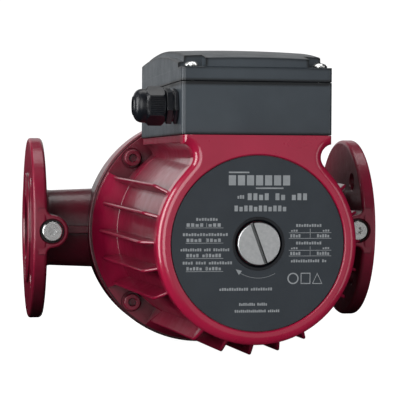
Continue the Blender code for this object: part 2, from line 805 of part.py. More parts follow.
def build_box_base():
    outline = rounded_rectangle(BOX_HALF_WIDTH, BOX_FRONT, BOX_REAR, 3)
    base = extruded("terminal_box_base", outline, BOX_BOTTOM, BOX_SPLIT, SLATE)
    inner = rounded_rectangle(
        BOX_HALF_WIDTH - BOX_WALL, BOX_FRONT - BOX_WALL, BOX_REAR + BOX_WALL, 2
    )
    rebate = rounded_rectangle(
        BOX_HALF_WIDTH - 1.4, BOX_FRONT - 1.4, BOX_REAR + 1.4, 2.2
    )
    floor = BOX_BOTTOM + BOX_WALL
    cut(
        base,
        extruded("box_cavity", inner, floor, BOX_SPLIT + 5),
        extruded("box_rebate", rebate, BOX_SPLIT - 1.6, BOX_SPLIT + 5),
    )
    for number, place in enumerate(cover_screw_places(), 1):
        join(base, rod(f"post_{number}", POST_RADIUS, floor - 1, BOX_SPLIT - 2, at=place, steps=14))
        cut(base, rod(f"post_hole_{number}", 2.9, 86, BOX_SPLIT + 5, at=place, steps=10))
    lead_hole = rod("base_lead_hole", 7, BOX_BOTTOM - 5, floor + 5, at=(0, -LEAD_FRONT, 0), steps=16)
    gland_hole = rod(
        "gland_wall_hole",
        THREAD_RADIUS + GAP,
        BOX_HALF_WIDTH - 6,
        BOX_HALF_WIDTH + 5,
        None,
        INLET,
        (0, -GLAND_FRONT, GLAND_HEIGHT),
        steps=20,
    )
    cut(base, lead_hole, gland_hole)
    for number, (x, front) in enumerate(BOX_SCREWS, 1):
        place = (x, -front, 0)
        cut(base, rod(f"floor_hole_{number}", 2.8, BOX_BOTTOM - 5, floor + 5, at=place, steps=10))

    gasket_outer = rounded_rectangle(
        BOX_HALF_WIDTH - 1.7, BOX_FRONT - 1.7, BOX_REAR + 1.7, 2.0
    )
    gasket_inner = rounded_rectangle(
        BOX_HALF_WIDTH - BOX_WALL, BOX_FRONT - BOX_WALL, BOX_REAR + BOX_WALL, 1.5
    )
    gasket = extruded("cover_gasket", gasket_outer, BOX_SPLIT - 1.3, BOX_SPLIT, RUBBER)
    cut(gasket, extruded("gasket_window", gasket_inner, BOX_SPLIT - 5, BOX_SPLIT + 5))


def crown_height(front):
    """Height of the cover's middle line, at a distance in front of the origin."""
    ahead = front - CROWN_PEAK
    if ahead > 0:
        return CROWN_TOP - CROWN_FRONT_DROP * (ahead / (BOX_FRONT - CROWN_PEAK)) ** 2
    return CROWN_TOP - CROWN_REAR_DROP * (ahead / (CROWN_PEAK - BOX_REAR)) ** 2


def shelf_drop(front):
    """How far the shelf lies below the shoulder; a little more towards the front."""
    return 3.2 + 1.6 * (front - BOX_REAR) / (BOX_FRONT - BOX_REAR)


def crown_section(front, inset):
    """The cover's cross-section as (x, z) points: upright sides, a shelf, a step, soft camber."""
    half = BOX_HALF_WIDTH - inset
    inner = half - SHELF_WIDTH
    shoulder = crown_height(front) - CAMBER - inset
    shelf = shoulder - shelf_drop(front)
    right = [(half, LEDGE - 4), (half, shelf), (inner, shelf + 0.4), (inner - 0.2, shoulder - 0.8)]
    spread = inner - 1
    camber = [(spread * t, shoulder + CAMBER * (1 - t**2)) for t in (1, 0.67, 0.33)]
    right += camber
    return [*right, (0, shoulder + CAMBER), *[(-x, z) for x, z in right[::-1]]]


def crown_mesh(name, front, rear, inset, count=7):
    """The raised part of the cover, lofted through its cross-sections from front to rear."""
    work = bmesh.new()
    rows = []
    for i in range(count + 1):
        place = front + (rear - front) * i / count
        section = crown_section(place, inset)
        rows.append([work.verts.new((x * MM, -place * MM, z * MM)) for x, z in section])
    work.faces.new(rows[0])
    work.faces.new(rows[-1][::-1])
    size = len(rows[0])
    for row, following in zip(rows, rows[1:]):
        for i in range(size):
            j = (i + 1) % size
            work.faces.new((row[i], following[i], following[j], row[j]))
    bmesh.ops.recalc_face_normals(work, faces=work.faces)
    mesh = bpy.data.meshes.new(name)
    work.to_mesh(mesh)
    work.free()
    return mesh


def notch(name, grow):
    """The two open corners at the front where the cover screws sit on the ledge."""
    blocks = []
    for side in (-1, 1):
        x0, x1 = sorted((side * (NOTCH_INNER - grow), side * (BOX_HALF_WIDTH + 5)))
        low, high = (x0, NOTCH_REAR - grow, LEDGE - grow), (x1, BOX_FRONT + 5, CROWN_TOP + 5)
        blocks.append(block(f"{name}_{side}", low, high))
    return blocks


def build_terminal_cover():
    bottom = BOX_SPLIT + GAP
    outline = rounded_rectangle(BOX_HALF_WIDTH, BOX_FRONT, BOX_REAR, 3)
    cover = extruded("terminal_cover", outline, bottom, LEDGE, SLATE)
    crown = add("crown", crown_mesh("crown", BOX_FRONT - 1.2, BOX_REAR + 0.8, 0.15))
    cut(crown, *notch("notch", 0))
    join(cover, crown)

    inner = rounded_rectangle(
        BOX_HALF_WIDTH - CROWN_WALL, BOX_FRONT - CROWN_WALL, BOX_REAR + CROWN_WALL, 2
    )
    hollow = add(
        "crown_hollow",
        crown_mesh("crown_hollow", BOX_FRONT - 4.2, BOX_REAR + 3.6, CROWN_WALL + 0.4),
    )
    cut(hollow, *notch("notch_wall", CROWN_WALL))
    skirt_hollow = extruded("skirt_hollow", inner, bottom - 5, LEDGE - CROWN_WALL)
    for number, place in enumerate(cover_screw_places(), 1):
        if number > 2:
            low, high = LEDGE - CROWN_WALL - 4, CROWN_TOP + 5
            cut(hollow, rod(f"well_wall_{number}", WELL_RADIUS + 2, low, high, at=place, steps=16))
            cut(cover, rod(f"well_{number}", WELL_RADIUS, LEDGE, high, at=place, steps=16))
        cut(cover, rod(f"cover_hole_{number}", 2.9, bottom - 5, LEDGE + 2, at=place, steps=10))
    cut(cover, hollow, skirt_hollow)


def build_cover_screws():
    for number, place in enumerate(cover_screw_places(), 1):
        floor = LEDGE + GAP
        screw = turned(
            f"cover_screw_{number}",
            [
                (0, floor + 3.3),
                (2.6, floor + 3.2),
                (4.4, floor + 2.4),
                (5.2, floor + 1.0),
                (5.2, floor),
                (COVER_SCREW_RADIUS, floor),
                (COVER_SCREW_RADIUS, 90),
                (0, 90),
            ],
            STEEL,
            at=place,
            steps=12,
        )
        x, y, _ = place
        for word, (w, d) in (("along", (3.0, 0.6)), ("across", (0.6, 3.0))):
            low = (x - w, -y - d, floor + 1.6)
            high = (x + w, -y + d, floor + 6)
            cut(screw, block(f"recess_{number}_{word}", low, high))


def build_box_fittings():
    floor = BOX_BOTTOM + BOX_WALL
    ring("box_gasket", 8.6, 14, NECK_TOP - 1.2, NECK_TOP, RUBBER, at=(0, -LEAD_FRONT, 0), steps=20)
    names = ("box_screw_1", "box_screw_2", "earth_screw")
    for name, (x, front) in zip(names, BOX_SCREWS):
        head = floor + GAP
        turned(
            name,
            [(0, head + 2.6), (3.6, head + 2.2), (4.2, head), (2.4, head), (2.4, 65.5), (0, 65.5)],
            STEEL,
            at=(x, -front, 0),
            steps=14,
        )
    terminals = block("terminal_block", (12, 158, floor + GAP), (42, 206, 88), WHITE)
    for i in range(4):
        front = 160 + 12 * i
        join(terminals, block(f"tower_{i}", (18, front, 86), (36, front + 8, 97)))
    cap_x, cap_z = -22.0, 92.2
    turned(
        "capacitor",
        [(0, 176), (11, 176), (13.5, 173.5), (13.5, 90), (12.5, 89), (0, 89)],
        WHITE,
        FRONT,
        (cap_x, 0, cap_z),
        steps=24,
    )
    clip = ring("capacitor_clip", 13.8, 15.0, 128, 138, STEEL, FRONT, (cap_x, 0, cap_z), 24)
    join(clip, block("clip_foot", (cap_x - 4, 128.5, floor + GAP), (cap_x + 22, 137.5, floor + 1.7)))
    rise = arc((9, 84), 9, 180, 90, 4)
    route = [(0, LEAD_FRONT, 51), (0, LEAD_FRONT, 62), (0, LEAD_FRONT, 74)]
    route += [(x, LEAD_FRONT - 0.25 * (z - 84), z) for x, z in rise]
    end_front = LEAD_FRONT - 2.5
    route += [(20, end_front, 93), (27, end_front, 91), (30, end_front, 84)]
    tube("motor_leads", route, 2.6, BLACK, 2)


# ------------------------------------------------------------------ cable gland


def build_gland():
    """The gland's lengths run outwards from the middle of the box, along -X."""
    place = (0, -GLAND_FRONT, GLAND_HEIGHT)
    wall = BOX_HALF_WIDTH
    turn = INLET @ Matrix.Rotation(math.radians(GLAND_HEX_TURN), 4, "Z")
    body = ring("gland_body", 6.8, THREAD_RADIUS, 43.5, 71.0, BLACK, INLET, place, 24)
    hexagon = polygon_bar("gland_hexagon", 6, GLAND_HEX, wall + GAP, GLAND_HEX_END, None, turn, place)
    groove = ring("gland_groove", 10.6, 14, 54.7, 55.9, None, INLET, place, 24)
    cut(hexagon, rod("hexagon_hole", 8.0, wall - 6, 65, None, INLET, place, 24), groove)
    join(body, hexagon)
    locknut = polygon_bar("gland_locknut", 6, GLAND_HEX, 43.9, 48.6, BLACK, INLET, place)
    cut(locknut, rod("locknut_hole", THREAD_RADIUS + GAP, 40, 52, None, INLET, place, 24))
    ring("gland_seal", GLAND_HOLE_RADIUS, 8.6, 71.3, 76.5, RUBBER, INLET, place, 24)

    grip_rear, grip_front = GLAND_HEX_END + GAP, 72.9
    grip = polygon_bar("nut_grip", 6, GRIP_HEX, grip_rear, grip_front, None, INLET, place)
    chamfers = turned(
        "grip_chamfers",
        [
            (0, grip_front + 1),
            (11.2, grip_front + 1),
            (13.8, grip_front - 1.6),
            (13.8, grip_rear + 2.4),
            (11.0, grip_rear - 0.4),
            (0, grip_rear - 0.4),
        ],
        None,
        INLET,
        place,
        steps=24,
    )
    boolean(grip, "INTERSECT", [chamfers])
    nut = turned(
        "gland_nut",
        [(0, 82.3), (6.4, 82.2), *arc((5.9, 76.0), 5.6, 70, 0, 4), (11.5, 70), (0, 70)],
        BLACK,
        INLET,
        place,
        steps=24,
    )
    bore = turned(
        "nut_bore",
        [
            (0, 90),
            (GLAND_HOLE_RADIUS, 90),
            (GLAND_HOLE_RADIUS, 76.8),
            (8.9, 76.8),
            (8.9, 71.3),
            (THREAD_RADIUS + GAP, 71.3),
            (THREAD_RADIUS + GAP, 55),
            (0, 55),
        ],
        None,
        INLET,
        place,
        steps=24,
    )
    join(nut, grip)
    cut(nut, bore)


build_pump_housing()
build_gauge_plugs()
build_hydraulics()
build_rotor()
build_stator()
build_motor_housing()
build_front_cover()
build_motor_screws()
build_vent()
build_box_base()
build_terminal_cover()
build_cover_screws()
build_box_fittings()
build_gland()
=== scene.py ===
"""Looks of the circulator pump: detailed casings, screws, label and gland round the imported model.

Lengths below are in millimetres and MM scales them. A turned profile is a list of
(radius, height) points along its own +Z. With the FRONT frame that +Z is the world's -Y,
so a height is a distance from the pipe axis towards the nameplate ("front").
"""

import json
import math

import bmesh
import bpy
from mathutils import Matrix, Vector


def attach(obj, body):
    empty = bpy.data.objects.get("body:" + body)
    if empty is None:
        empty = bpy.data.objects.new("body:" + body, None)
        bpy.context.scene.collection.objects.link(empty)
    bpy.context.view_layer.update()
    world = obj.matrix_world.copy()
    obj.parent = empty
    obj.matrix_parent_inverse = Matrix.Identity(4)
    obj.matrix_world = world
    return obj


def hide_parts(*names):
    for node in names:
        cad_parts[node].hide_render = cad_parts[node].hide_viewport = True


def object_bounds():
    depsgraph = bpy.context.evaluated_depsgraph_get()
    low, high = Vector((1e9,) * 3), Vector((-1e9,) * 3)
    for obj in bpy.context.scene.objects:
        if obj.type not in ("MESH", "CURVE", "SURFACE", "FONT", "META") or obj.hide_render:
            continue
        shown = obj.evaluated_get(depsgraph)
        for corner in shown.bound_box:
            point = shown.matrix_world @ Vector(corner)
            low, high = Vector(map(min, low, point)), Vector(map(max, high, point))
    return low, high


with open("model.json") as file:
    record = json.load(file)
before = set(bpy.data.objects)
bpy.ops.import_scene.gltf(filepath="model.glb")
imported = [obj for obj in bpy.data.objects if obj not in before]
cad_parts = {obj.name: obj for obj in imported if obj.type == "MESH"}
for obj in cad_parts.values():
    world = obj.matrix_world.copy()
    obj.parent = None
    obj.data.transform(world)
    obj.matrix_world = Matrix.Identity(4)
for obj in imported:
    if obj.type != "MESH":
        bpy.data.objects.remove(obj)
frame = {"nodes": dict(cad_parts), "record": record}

MM = 0.001
GAP = 0.3

# Pipe side
FACE = 140.0
FLANGE_RADIUS = 74.0
FLANGE_THICKNESS = 13.0
RAISED_FACE_RADIUS = 45.0
RAISED_FACE_HEIGHT = 2.0
GROOVE_DEPTH = 0.35
BOLT_CIRCLE_RADIUS = 55.0
BOLT_HOLE_RADIUS = 7.0
PORT_RADIUS = 25.0
SUCTION_RADIUS = 24.0
EYE_RADIUS = 22.0
NECK_RADIUS = 31.0
NECK_ROOT_RADIUS = 32.5
SUCTION_BACK = 33.0
SUCTION_START, SUCTION_END = -118.0, -40.0
DOME_START = 6.0
PLUG_X = 123.3
BOSS_FRONT = 72.5
BOSS_RADIUS = 12.8
BOSS_FILLET = 5.0

# Drum and motor housing
DRUM_RADIUS = 91.7
DRUM_FRONT = 38.0
DRUM_BACK = -6.0
CHAMBER_RADIUS = 64.0
CHAMBER_FLOOR = 6.0
SEAT_RADIUS = 72.0
SEAT_FLOOR = 30.0
SCREW_CIRCLE_RADIUS = 81.5
SCREW_ANGLES = (45, 135, 225, 315)
FLANGE_REAR = DRUM_FRONT + GAP
FLANGE_FRONT = 46.0
MOTOR_FLANGE_RADIUS = 89.5
CONE_END = 80.0
BODY_REAR_RADIUS = 72.5
BODY_FRONT_RADIUS = 66.8
BODY_FRONT = 249.7
STATOR_BORE = 63.0
FIN_STEP = 15
FIN_SECTORS = ((-30, 30), (150, 210), (240, 300))
LEAD_FRONT = 212.0

# Front cover, neck and nameplate
COVER_REAR = 250.0
COVER_FRONT = 266.0
RIM_RADIUS = 69.0
RIM_ROUND = 6.6
PLATE_RADIUS = 59.2
PLATE_FLOOR = 263.0
PLATE_FRONT = 264.7
VENT_RECESS_RADIUS = 17.2
VENT_HEAD_RADIUS = 14.55
VENT_SLOT_TILT = 20
NECK_TOP = 72.9
NECK_HALF_WIDTH = 51.2
NECK_TANGENT = 40
NECK_FILLET = 9.0
NECK_WAIST = 44.0
NECK_REAR = 59.6

# Terminal box
BOX_HALF_WIDTH = 51.9
BOX_FRONT, BOX_REAR = 260.4, 59.5
BOX_BOTTOM = NECK_TOP + GAP
BOX_SPLIT = 109.0
BOX_WALL = 3.0
LEDGE = 119.0
CROWN_TOP = 137.3
CROWN_FRONT_DROP = 12.0
CROWN_REAR_DROP = 2.6
CROWN_PEAK = 130.0
CAMBER = 1.2
SHELF_WIDTH = 4.0
CROWN_WALL = 2.6
NOTCH_INNER, NOTCH_REAR = 35.5, 242.5
FRONT_SCREW, REAR_SCREW = (44.2, 254.0), (42.0, 69.0)
POST_RADIUS = 4.0
WELL_RADIUS = 6.0
BOX_SCREWS = ((-30.0, 100.0), (30.0, 218.0), (32.0, 240.0))

# Cable gland
GLAND_FRONT = 238.5
GLAND_HEIGHT = 92.7
GLAND_HOLE_RADIUS = 5.6
THREAD_RADIUS = 9.3
GLAND_HEX_TURN = 15.4

FRONT = Matrix.Rotation(math.radians(90), 4, "X")
OUTLET = Matrix.Rotation(math.radians(90), 4, "Y")
INLET = Matrix.Rotation(math.radians(-90), 4, "Y")
UP = Matrix.Identity(4)

CAD_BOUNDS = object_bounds()


# ---------------- camera and studio


def make_camera():
    """The camera stands a little to the left, level with the motor, and looks along +Y."""
    camera = bpy.data.objects.new("camera", bpy.data.cameras.new("camera"))
    bpy.context.scene.collection.objects.link(camera)
    camera.data.lens = 139.8
    camera.data.sensor_width = 36
    camera.data.clip_end = 20
    turn = Matrix.Rotation(-0.173, 4, "Z") @ Matrix.Rotation(math.radians(90) - 0.024, 4, "X")
    roll = Matrix.Rotation(0.005, 4, "Z")
    camera.matrix_world = Matrix.Translation((-0.21847, -1.28588, 0.05423)) @ turn @ roll
    bpy.context.scene.camera = camera


def softbox(name, place, size, radiance):
    """A rectangular light, aimed at the motor, of the given brightness."""
    light = bpy.data.lights.new(name, "AREA")
    light.shape = "RECTANGLE"
    light.size, light.size_y = size
    light.energy = radiance * math.pi * size[0] * size[1]
    obj = bpy.data.objects.new(name, light)
    obj.location = place
    aim = Vector((0, -0.15, 0.02)) - Vector(place)
    obj.rotation_euler = aim.to_track_quat("-Z", "Y").to_euler()
    obj.visible_camera = False
    bpy.context.scene.collection.objects.link(obj)


def make_studio():
    world = bpy.data.worlds.new("studio")
    world.use_nodes = True
    background = world.node_tree.nodes["Background"]
    feed(world.node_tree, background, {"Color": (0.95, 0.97, 1.0), "Strength": 0.45})
    bpy.context.scene.world = world
    world.cycles_visibility.glossy = False
    bpy.context.scene.view_settings.view_transform = "Standard"
    softbox("front_left", (-0.75, -1.5, 0.35), (0.8, 1.5), 3.6)
    softbox("front", (0.35, -1.75, 0.0), (1.0, 1.3), 0.42)
    softbox("front_right", (1.3, -1.2, 0.0), (0.6, 1.4), 1.6)
    softbox("side_left", (-1.6, -0.25, 0.3), (0.7, 1.6), 7.5)
    softbox("overhead", (0, 0.3, 1.4), (1.3, 0.6), 2.4)
    softbox("behind", (0, 1.9, 0.7), (1.8, 1.2), 0.7)


def make_floor():
    """A pale floor that curves up into walls all round, so that every side has a plain setting."""
    flat, bend, top = 2600, 1200, 3600
    profile = [(0, 0), *arc((flat, bend), bend, -90, 0, 10), (flat + bend, top)]
    floor = turned("studio_floor", profile, steps=64)
    floor.data.shade_smooth()
    floor.location.z = CAD_BOUNDS[0][2] - 0.0005
    floor.visible_glossy = False
    floor.visible_diffuse = False
    material, tree = new_material("studio_white")
    feed(tree, tree.nodes["Principled BSDF"], {
        "Base Color": (0.2, 0.2, 0.2),
        "Roughness": 1.0,
        "Specular IOR Level": 0.0,
        "Emission Color": (1, 1, 1),
        "Emission Strength": 0.98,
    })
    floor.data.materials.append(material)


# ---------------- materials


def new_material(name):
    material = bpy.data.materials.new(name)
    material.use_nodes = True
    return material, material.node_tree


def feed(tree, target, inputs):
    """Give inputs of a node a constant or the socket that feeds them; a colour is (r, g, b)."""
    for key, value in inputs.items():
        socket = target.inputs[key]
        if isinstance(value, bpy.types.NodeSocket):
            tree.links.new(value, socket)
        elif socket.type == "RGBA":
            socket.default_value = (*value, 1)
        else:
            socket.default_value = value


def node(tree, kind, inputs, **values):
    made = tree.nodes.new(kind)
    for key, value in values.items():
        setattr(made, key, value)
    feed(tree, made, inputs)
    return made


def spread(tree, value, start, end, low=0.0, high=1.0):
    """A value that runs from start to end, stretched to run from low to high."""
    inputs = {"Value": value, "From Min": start, "From Max": end, "To Min": low, "To Max": high}
    return node(tree, "ShaderNodeMapRange", inputs).outputs["Result"]


def noise_value(tree, place, scale, detail=3, low=0.0, high=1.0):
    """Noise, stretched to run from low to high."""
    inputs = {"Vector": place, "Scale": scale, "Detail": detail, "Roughness": 0.55}
    noise = node(tree, "ShaderNodeTexNoise", inputs)
    return spread(tree, noise.outputs["Fac"], 0.3, 0.7, low, high)


def mix_colour(tree, factor, first, second):
    inputs = {0: factor, 6: first, 7: second}
    return node(tree, "ShaderNodeMix", inputs, data_type="RGBA").outputs[2]


def openness(tree, reach, **values):
    """1 where nothing stands within reach millimetres of a point, less in a hollow."""
    made = node(tree, "ShaderNodeAmbientOcclusion", {"Distance": reach * MM}, samples=8, **values)
    return made.outputs["AO"]


def bump(tree, height, depth, under=None):
    """A relief that is depth millimetres high, laid over the relief under it if there is one."""
    inputs = {"Height": height, "Distance": depth * MM}
    if under is not None:
        inputs["Normal"] = under
    return node(tree, "ShaderNodeBump", inputs).outputs["Normal"]


def surface(
    name, dark, light, patch, roughness, grain, depth, ripple=0.0, metallic=0.0, coat=0.0,
    stretch=(1, 1, 1), recess=None, outline=None
):
    """A material with drifting colour, uneven gloss and fine grain.

    patch and grain are sizes in millimetres, depth is the grain's height in millimetres, and
    ripple is the height of a wider unevenness such as a casting's skin under its paint.
    recess is (reach, power): painted shade darkens a hollow by what stands within reach millimetres
    of it.
    outline is (reach, colour): a painted dark reflection along edges takes the colour, within about
    reach millimetres.
    """
    material, tree = new_material(name)
    place = node(tree, "ShaderNodeTexCoord", {}).outputs["Object"]
    scaled = node(tree, "ShaderNodeVectorMath", {0: place, 1: stretch}, operation="MULTIPLY")
    place = scaled.outputs[0]

    colour = mix_colour(tree, noise_value(tree, place, 1 / (patch * MM)), dark, light)
    # Painted shade: in hollows the colour darkens towards a dim copy of itself, by ambient
    # occlusion.
    if recess:
        reach, power = recess
        inputs = {0: openness(tree, reach), 1: power}
        steep = node(tree, "ShaderNodeMath", inputs, operation="POWER")
        painted_shade_colour = tuple(channel * 0.12 for channel in dark)
        colour = mix_colour(tree, steep.outputs[0], painted_shade_colour, colour)
    # Painted dark reflection: edges, found by occlusion inside the part, take the outline's dark
    # colour.
    if outline:
        reach, shade = outline
        inner = spread(tree, openness(tree, reach, inside=True), 0.72, 0.97)
        colour = mix_colour(tree, inner, shade, colour)
    looks = {
        "Base Color": colour,
        "Roughness": noise_value(tree, place, 2.3 / (patch * MM), 4, *roughness),
        "Metallic": metallic,
        "Coat Weight": coat,
        "Coat Roughness": 0.06,
    }
    skin = None
    if ripple:
        skin = bump(tree, noise_value(tree, place, 1 / (grain * 5 * MM), 2), ripple)
        looks["Coat Normal"] = skin
    looks["Normal"] = bump(tree, noise_value(tree, place, 1 / (grain * MM), 2), depth, skin)
    feed(tree, tree.nodes["Principled BSDF"], looks)
    return material


def turned_metal(name, dark, light, roughness, pitch, depth):
    """Metal with fine circular tool marks round the motor's axis, and painted shade in its hollows.
    """
    material = surface(
        name, dark, light, 3, roughness, 0.25, 0.002, metallic=1.0, recess=(3, 2.5)
    )
    tree = material.node_tree
    place = node(tree, "ShaderNodeTexCoord", {}).outputs["Object"]
    flat = node(tree, "ShaderNodeVectorMath", {0: place, 1: (1, 0, 1)}, operation="MULTIPLY")
    length = node(tree, "ShaderNodeVectorMath", {0: flat.outputs[0]}, operation="LENGTH")
    inputs = {"W": length.outputs["Value"], "Scale": 1 / (pitch * MM), "Detail": 3}
    rings = node(tree, "ShaderNodeTexNoise", inputs, noise_dimensions="1D")
    marks = bump(tree, rings.outputs["Fac"], depth)
    feed(tree, tree.nodes["Principled BSDF"], {"Normal": marks})
    return material


PAINT = surface(
    "crimson_paint", (0.31, 0.003, 0.032), (0.35, 0.005, 0.039), 40, (0.26, 0.34),
    1.3, 0.010, ripple=0.02, coat=0.6
)
# Both casting paints carry painted shade in their hollows (recess).
CAST_PAINT = surface(
    "wine_paint_on_casting", (0.20, 0.0015, 0.023), (0.25, 0.0025, 0.030), 25, (0.28, 0.40),
    1.1, 0.022, ripple=0.05, coat=0.45, recess=(30, 0.8)
)
IRON_PAINT = surface(
    "wine_paint_on_iron", (0.20, 0.0015, 0.023), (0.25, 0.0025, 0.029), 22, (0.30, 0.42),
    1.0, 0.035, ripple=0.08, coat=0.25, recess=(80, 2.0)
)
# Slate plastic carries a painted dark reflection along its edges (outline).
SLATE = surface(
    "slate_plastic", (0.036, 0.046, 0.056), (0.046, 0.058, 0.069), 30, (0.36, 0.46), 0.45, 0.018,
    outline=(2.4, (0.006, 0.008, 0.010))
)
PLATE = surface(
    "plate_plastic", (0.021, 0.028, 0.036), (0.026, 0.034, 0.043), 24, (0.45, 0.55), 0.35, 0.010
)
PRINT = surface(
    "pale_print", (0.21, 0.225, 0.235), (0.26, 0.275, 0.285), 9, (0.5, 0.6), 0.3, 0.004
)
BLACK = surface(
    "black_plastic", (0.004, 0.005, 0.008), (0.007, 0.009, 0.013), 14, (0.30, 0.42), 0.4, 0.012
)
RUBBER = surface(
    "black_rubber", (0.010, 0.010, 0.010), (0.020, 0.020, 0.020), 8, (0.65, 0.8), 0.5, 0.02
)
STEEL = surface(
    "machined_steel", (0.48, 0.48, 0.47), (0.62, 0.62, 0.61), 12, (0.24, 0.38), 0.4, 0.006,
    metallic=1.0, stretch=(1, 0.15, 1)
)
ZINC = surface(
    "zinc_plating", (0.62, 0.63, 0.63), (0.8, 0.8, 0.79), 4, (0.18, 0.32), 0.5, 0.008, metallic=1.0
)
SHEETS = surface(
    "steel_sheets", (0.13, 0.13, 0.14), (0.24, 0.24, 0.25), 9, (0.4, 0.55), 0.5, 0.05,
    metallic=1.0, stretch=(0.05, 1, 0.05)
)
COPPER = surface(
    "enamelled_copper", (0.42, 0.13, 0.05), (0.62, 0.24, 0.10), 5, (0.25, 0.4), 0.9, 0.18,
    metallic=1.0, stretch=(1, 0.3, 1)
)
ALUMINIUM = surface(
    "cast_aluminium", (0.5, 0.51, 0.52), (0.65, 0.66, 0.67), 8, (0.35, 0.5), 0.8, 0.03, metallic=1.0
)
CARBON = surface(
    "polished_carbon", (0.02, 0.02, 0.022), (0.035, 0.035, 0.04), 6, (0.25, 0.4), 0.4, 0.008
)
CREAM = surface(
    "cream_plastic", (0.62, 0.61, 0.57), (0.70, 0.69, 0.65), 20, (0.35, 0.45), 0.5, 0.01
)
SLOT_MATERIALS = {
    "red_cast_iron": IRON_PAINT,
    "red_cast": CAST_PAINT,
    "red_paint": PAINT,
    "red_paint_screws": CAST_PAINT,
    "plate_plastic": PLATE,
    "slate_plastic": SLATE,
    "black_plastic": BLACK,
    "white_plastic": CREAM,
    "rubber": RUBBER,
    "zinc_steel": ZINC,
    "steel": STEEL,
    "lamination_steel": SHEETS,
    "copper": COPPER,
    "aluminium": ALUMINIUM,
    "carbon": CARBON,
}


# ---------------- shape helpers


def add(name, mesh, turn=UP, at=(0, 0, 0)):
    """An object whose mesh already stands in its place, so it sits at the origin."""
    mesh.transform(Matrix.Translation(Vector(at) * MM) @ turn)
    obj = bpy.data.objects.new(name, mesh)
    bpy.context.scene.collection.objects.link(obj)
    return obj


def arc(centre, radius, start, end, count):
    """Points on an arc, count steps from the start angle to the end angle, in degrees."""
    angles = [math.radians(start + (end - start) * i / count) for i in range(count + 1)]
    return [
        (centre[0] + radius * math.cos(a), centre[1] + radius * math.sin(a))
        for a in angles
    ]


def rounded(profile, radius, count=4):
    """Round the corners of an open profile of (radius, height) points."""
    points = [profile[0]]
    for i in range(1, len(profile) - 1):
        before, corner, after = (Vector(profile[j]) for j in (i - 1, i, i + 1))
        to_before, to_after = before - corner, after - corner
        reach = min(radius, to_before.length * 0.45, to_after.length * 0.45)
        start = corner + to_before.normalized() * reach
        end = corner + to_after.normalized() * reach
        for k in range(count + 1):
            t = k / count
            spot = start * (1 - t) ** 2 + corner * 2 * t * (1 - t) + end * t**2
            points.append((spot.x, spot.y))
    points.append(profile[-1])
    return points


def finished(work, name):
    """The mesh that a bmesh has built up."""
    mesh = bpy.data.meshes.new(name)
    work.to_mesh(mesh)
    work.free()
    return mesh


def loft(work, rows):
    """Add a solid through closed rows of (x, y, z) points, and give its vertices row by row."""
    rings = [[work.verts.new((x * MM, y * MM, z * MM)) for x, y, z in row] for row in rows]
    faces = [work.faces.new(rings[0][::-1]), work.faces.new(rings[-1])]
    for ring, following in zip(rings, rings[1:]):
        for i in range(len(ring)):
            j = (i + 1) % len(ring)
            faces.append(work.faces.new((ring[i], ring[j], following[j], following[i])))
    bmesh.ops.recalc_face_normals(work, faces=faces)
    return rings


def lathe_mesh(name, profile, steps=96):
    """Turn a profile that runs down its outer side. One that starts off the axis is closed."""
    work = bmesh.new()
    closed = profile[0][0] > 1e-6
    columns = []
    for i in range(steps):
        angle = 2 * math.pi * i / steps
        column = []
        for k, (r, z) in enumerate(profile):
            if r < 1e-6 and i:
                column.append(columns[0][k])
                continue
            spot = (r * MM * math.cos(angle), r * MM * math.sin(angle), z * MM)
            column.append(work.verts.new(spot))
        columns.append(column)
    count = len(profile)
    for i in range(steps):
        left, right = columns[i], columns[(i + 1) % steps]
        for k in range(count if closed else count - 1):
            j = (k + 1) % count
            corners = []
            for vert in (left[k], left[j], right[j], right[k]):
                if vert not in corners:
                    corners.append(vert)
            work.faces.new(corners)
    bmesh.ops.recalc_face_normals(work, faces=work.faces)
    return finished(work, name)


def turned(name, profile, turn=UP, at=(0, 0, 0), steps=96):
    return add(name, lathe_mesh(name, profile, steps), turn, at)


def rod(name, radius, low, high, turn=UP, at=(0, 0, 0), steps=48):
    return turned(name, [(0, high), (radius, high), (radius, low), (0, low)], turn, at, steps)


def prism_mesh(name, points, low, high, round_top=0.0, round_bottom=0.0, segments=4, keep=None):
    """An outline of (x, y) points extruded along Z, with its top or bottom rim rounded.

    keep(x, y) says which stretches of the rim stay sharp.
    """
    work = bmesh.new()
    bottom, top = loft(work, [[(x, y, z) for x, y in points] for z in (low, high)])
    count = len(points)
    for radius, verts in ((round_top, top), (round_bottom, bottom)):
        if not radius:
            continue
        rim = []
        for i in range(count):
            first, second = verts[i], verts[(i + 1) % count]
            middle = (first.co + second.co) / 2
            if keep and keep(middle.x / MM, middle.y / MM):
                continue
            rim.append(work.edges.get((first, second)))
        bmesh.ops.bevel(
            work, geom=rim, offset=radius * MM, segments=segments, profile=0.5,
            affect="EDGES", clamp_overlap=False
        )
    return finished(work, name)


def prism(name, points, low, high, turn=UP, at=(0, 0, 0), **rounding):
    return add(name, prism_mesh(name, points, low, high, **rounding), turn, at)


def block(name, low, high, edge=0.0):
    """A box between two corners given as (x, front, z), with rounded edges if asked."""
    (x0, f0, z0), (x1, f1, z1) = low, high
    work = bmesh.new()
    bmesh.ops.create_cube(work, size=1)
    for vert in work.verts:
        vert.co.x = (x0 if vert.co.x < 0 else x1) * MM
        vert.co.y = -(f1 if vert.co.y < 0 else f0) * MM
        vert.co.z = (z0 if vert.co.z < 0 else z1) * MM
    bmesh.ops.recalc_face_normals(work, faces=work.faces)
    if edge:
        bmesh.ops.bevel(
            work, geom=work.edges, offset=edge * MM, segments=2, profile=0.5, affect="EDGES"
        )
    return add(name, finished(work, name))


def rounded_rectangle(half_width, front, rear, radius, count=6):
    inner = half_width - radius
    corners = ((inner, -rear - radius, 0), (-inner, -rear - radius, 90),
               (-inner, -front + radius, 180), (inner, -front + radius, 270))
    points = []
    for x, y, start in corners:
        points += arc((x, y), radius, start, start + 90, count)
    return points


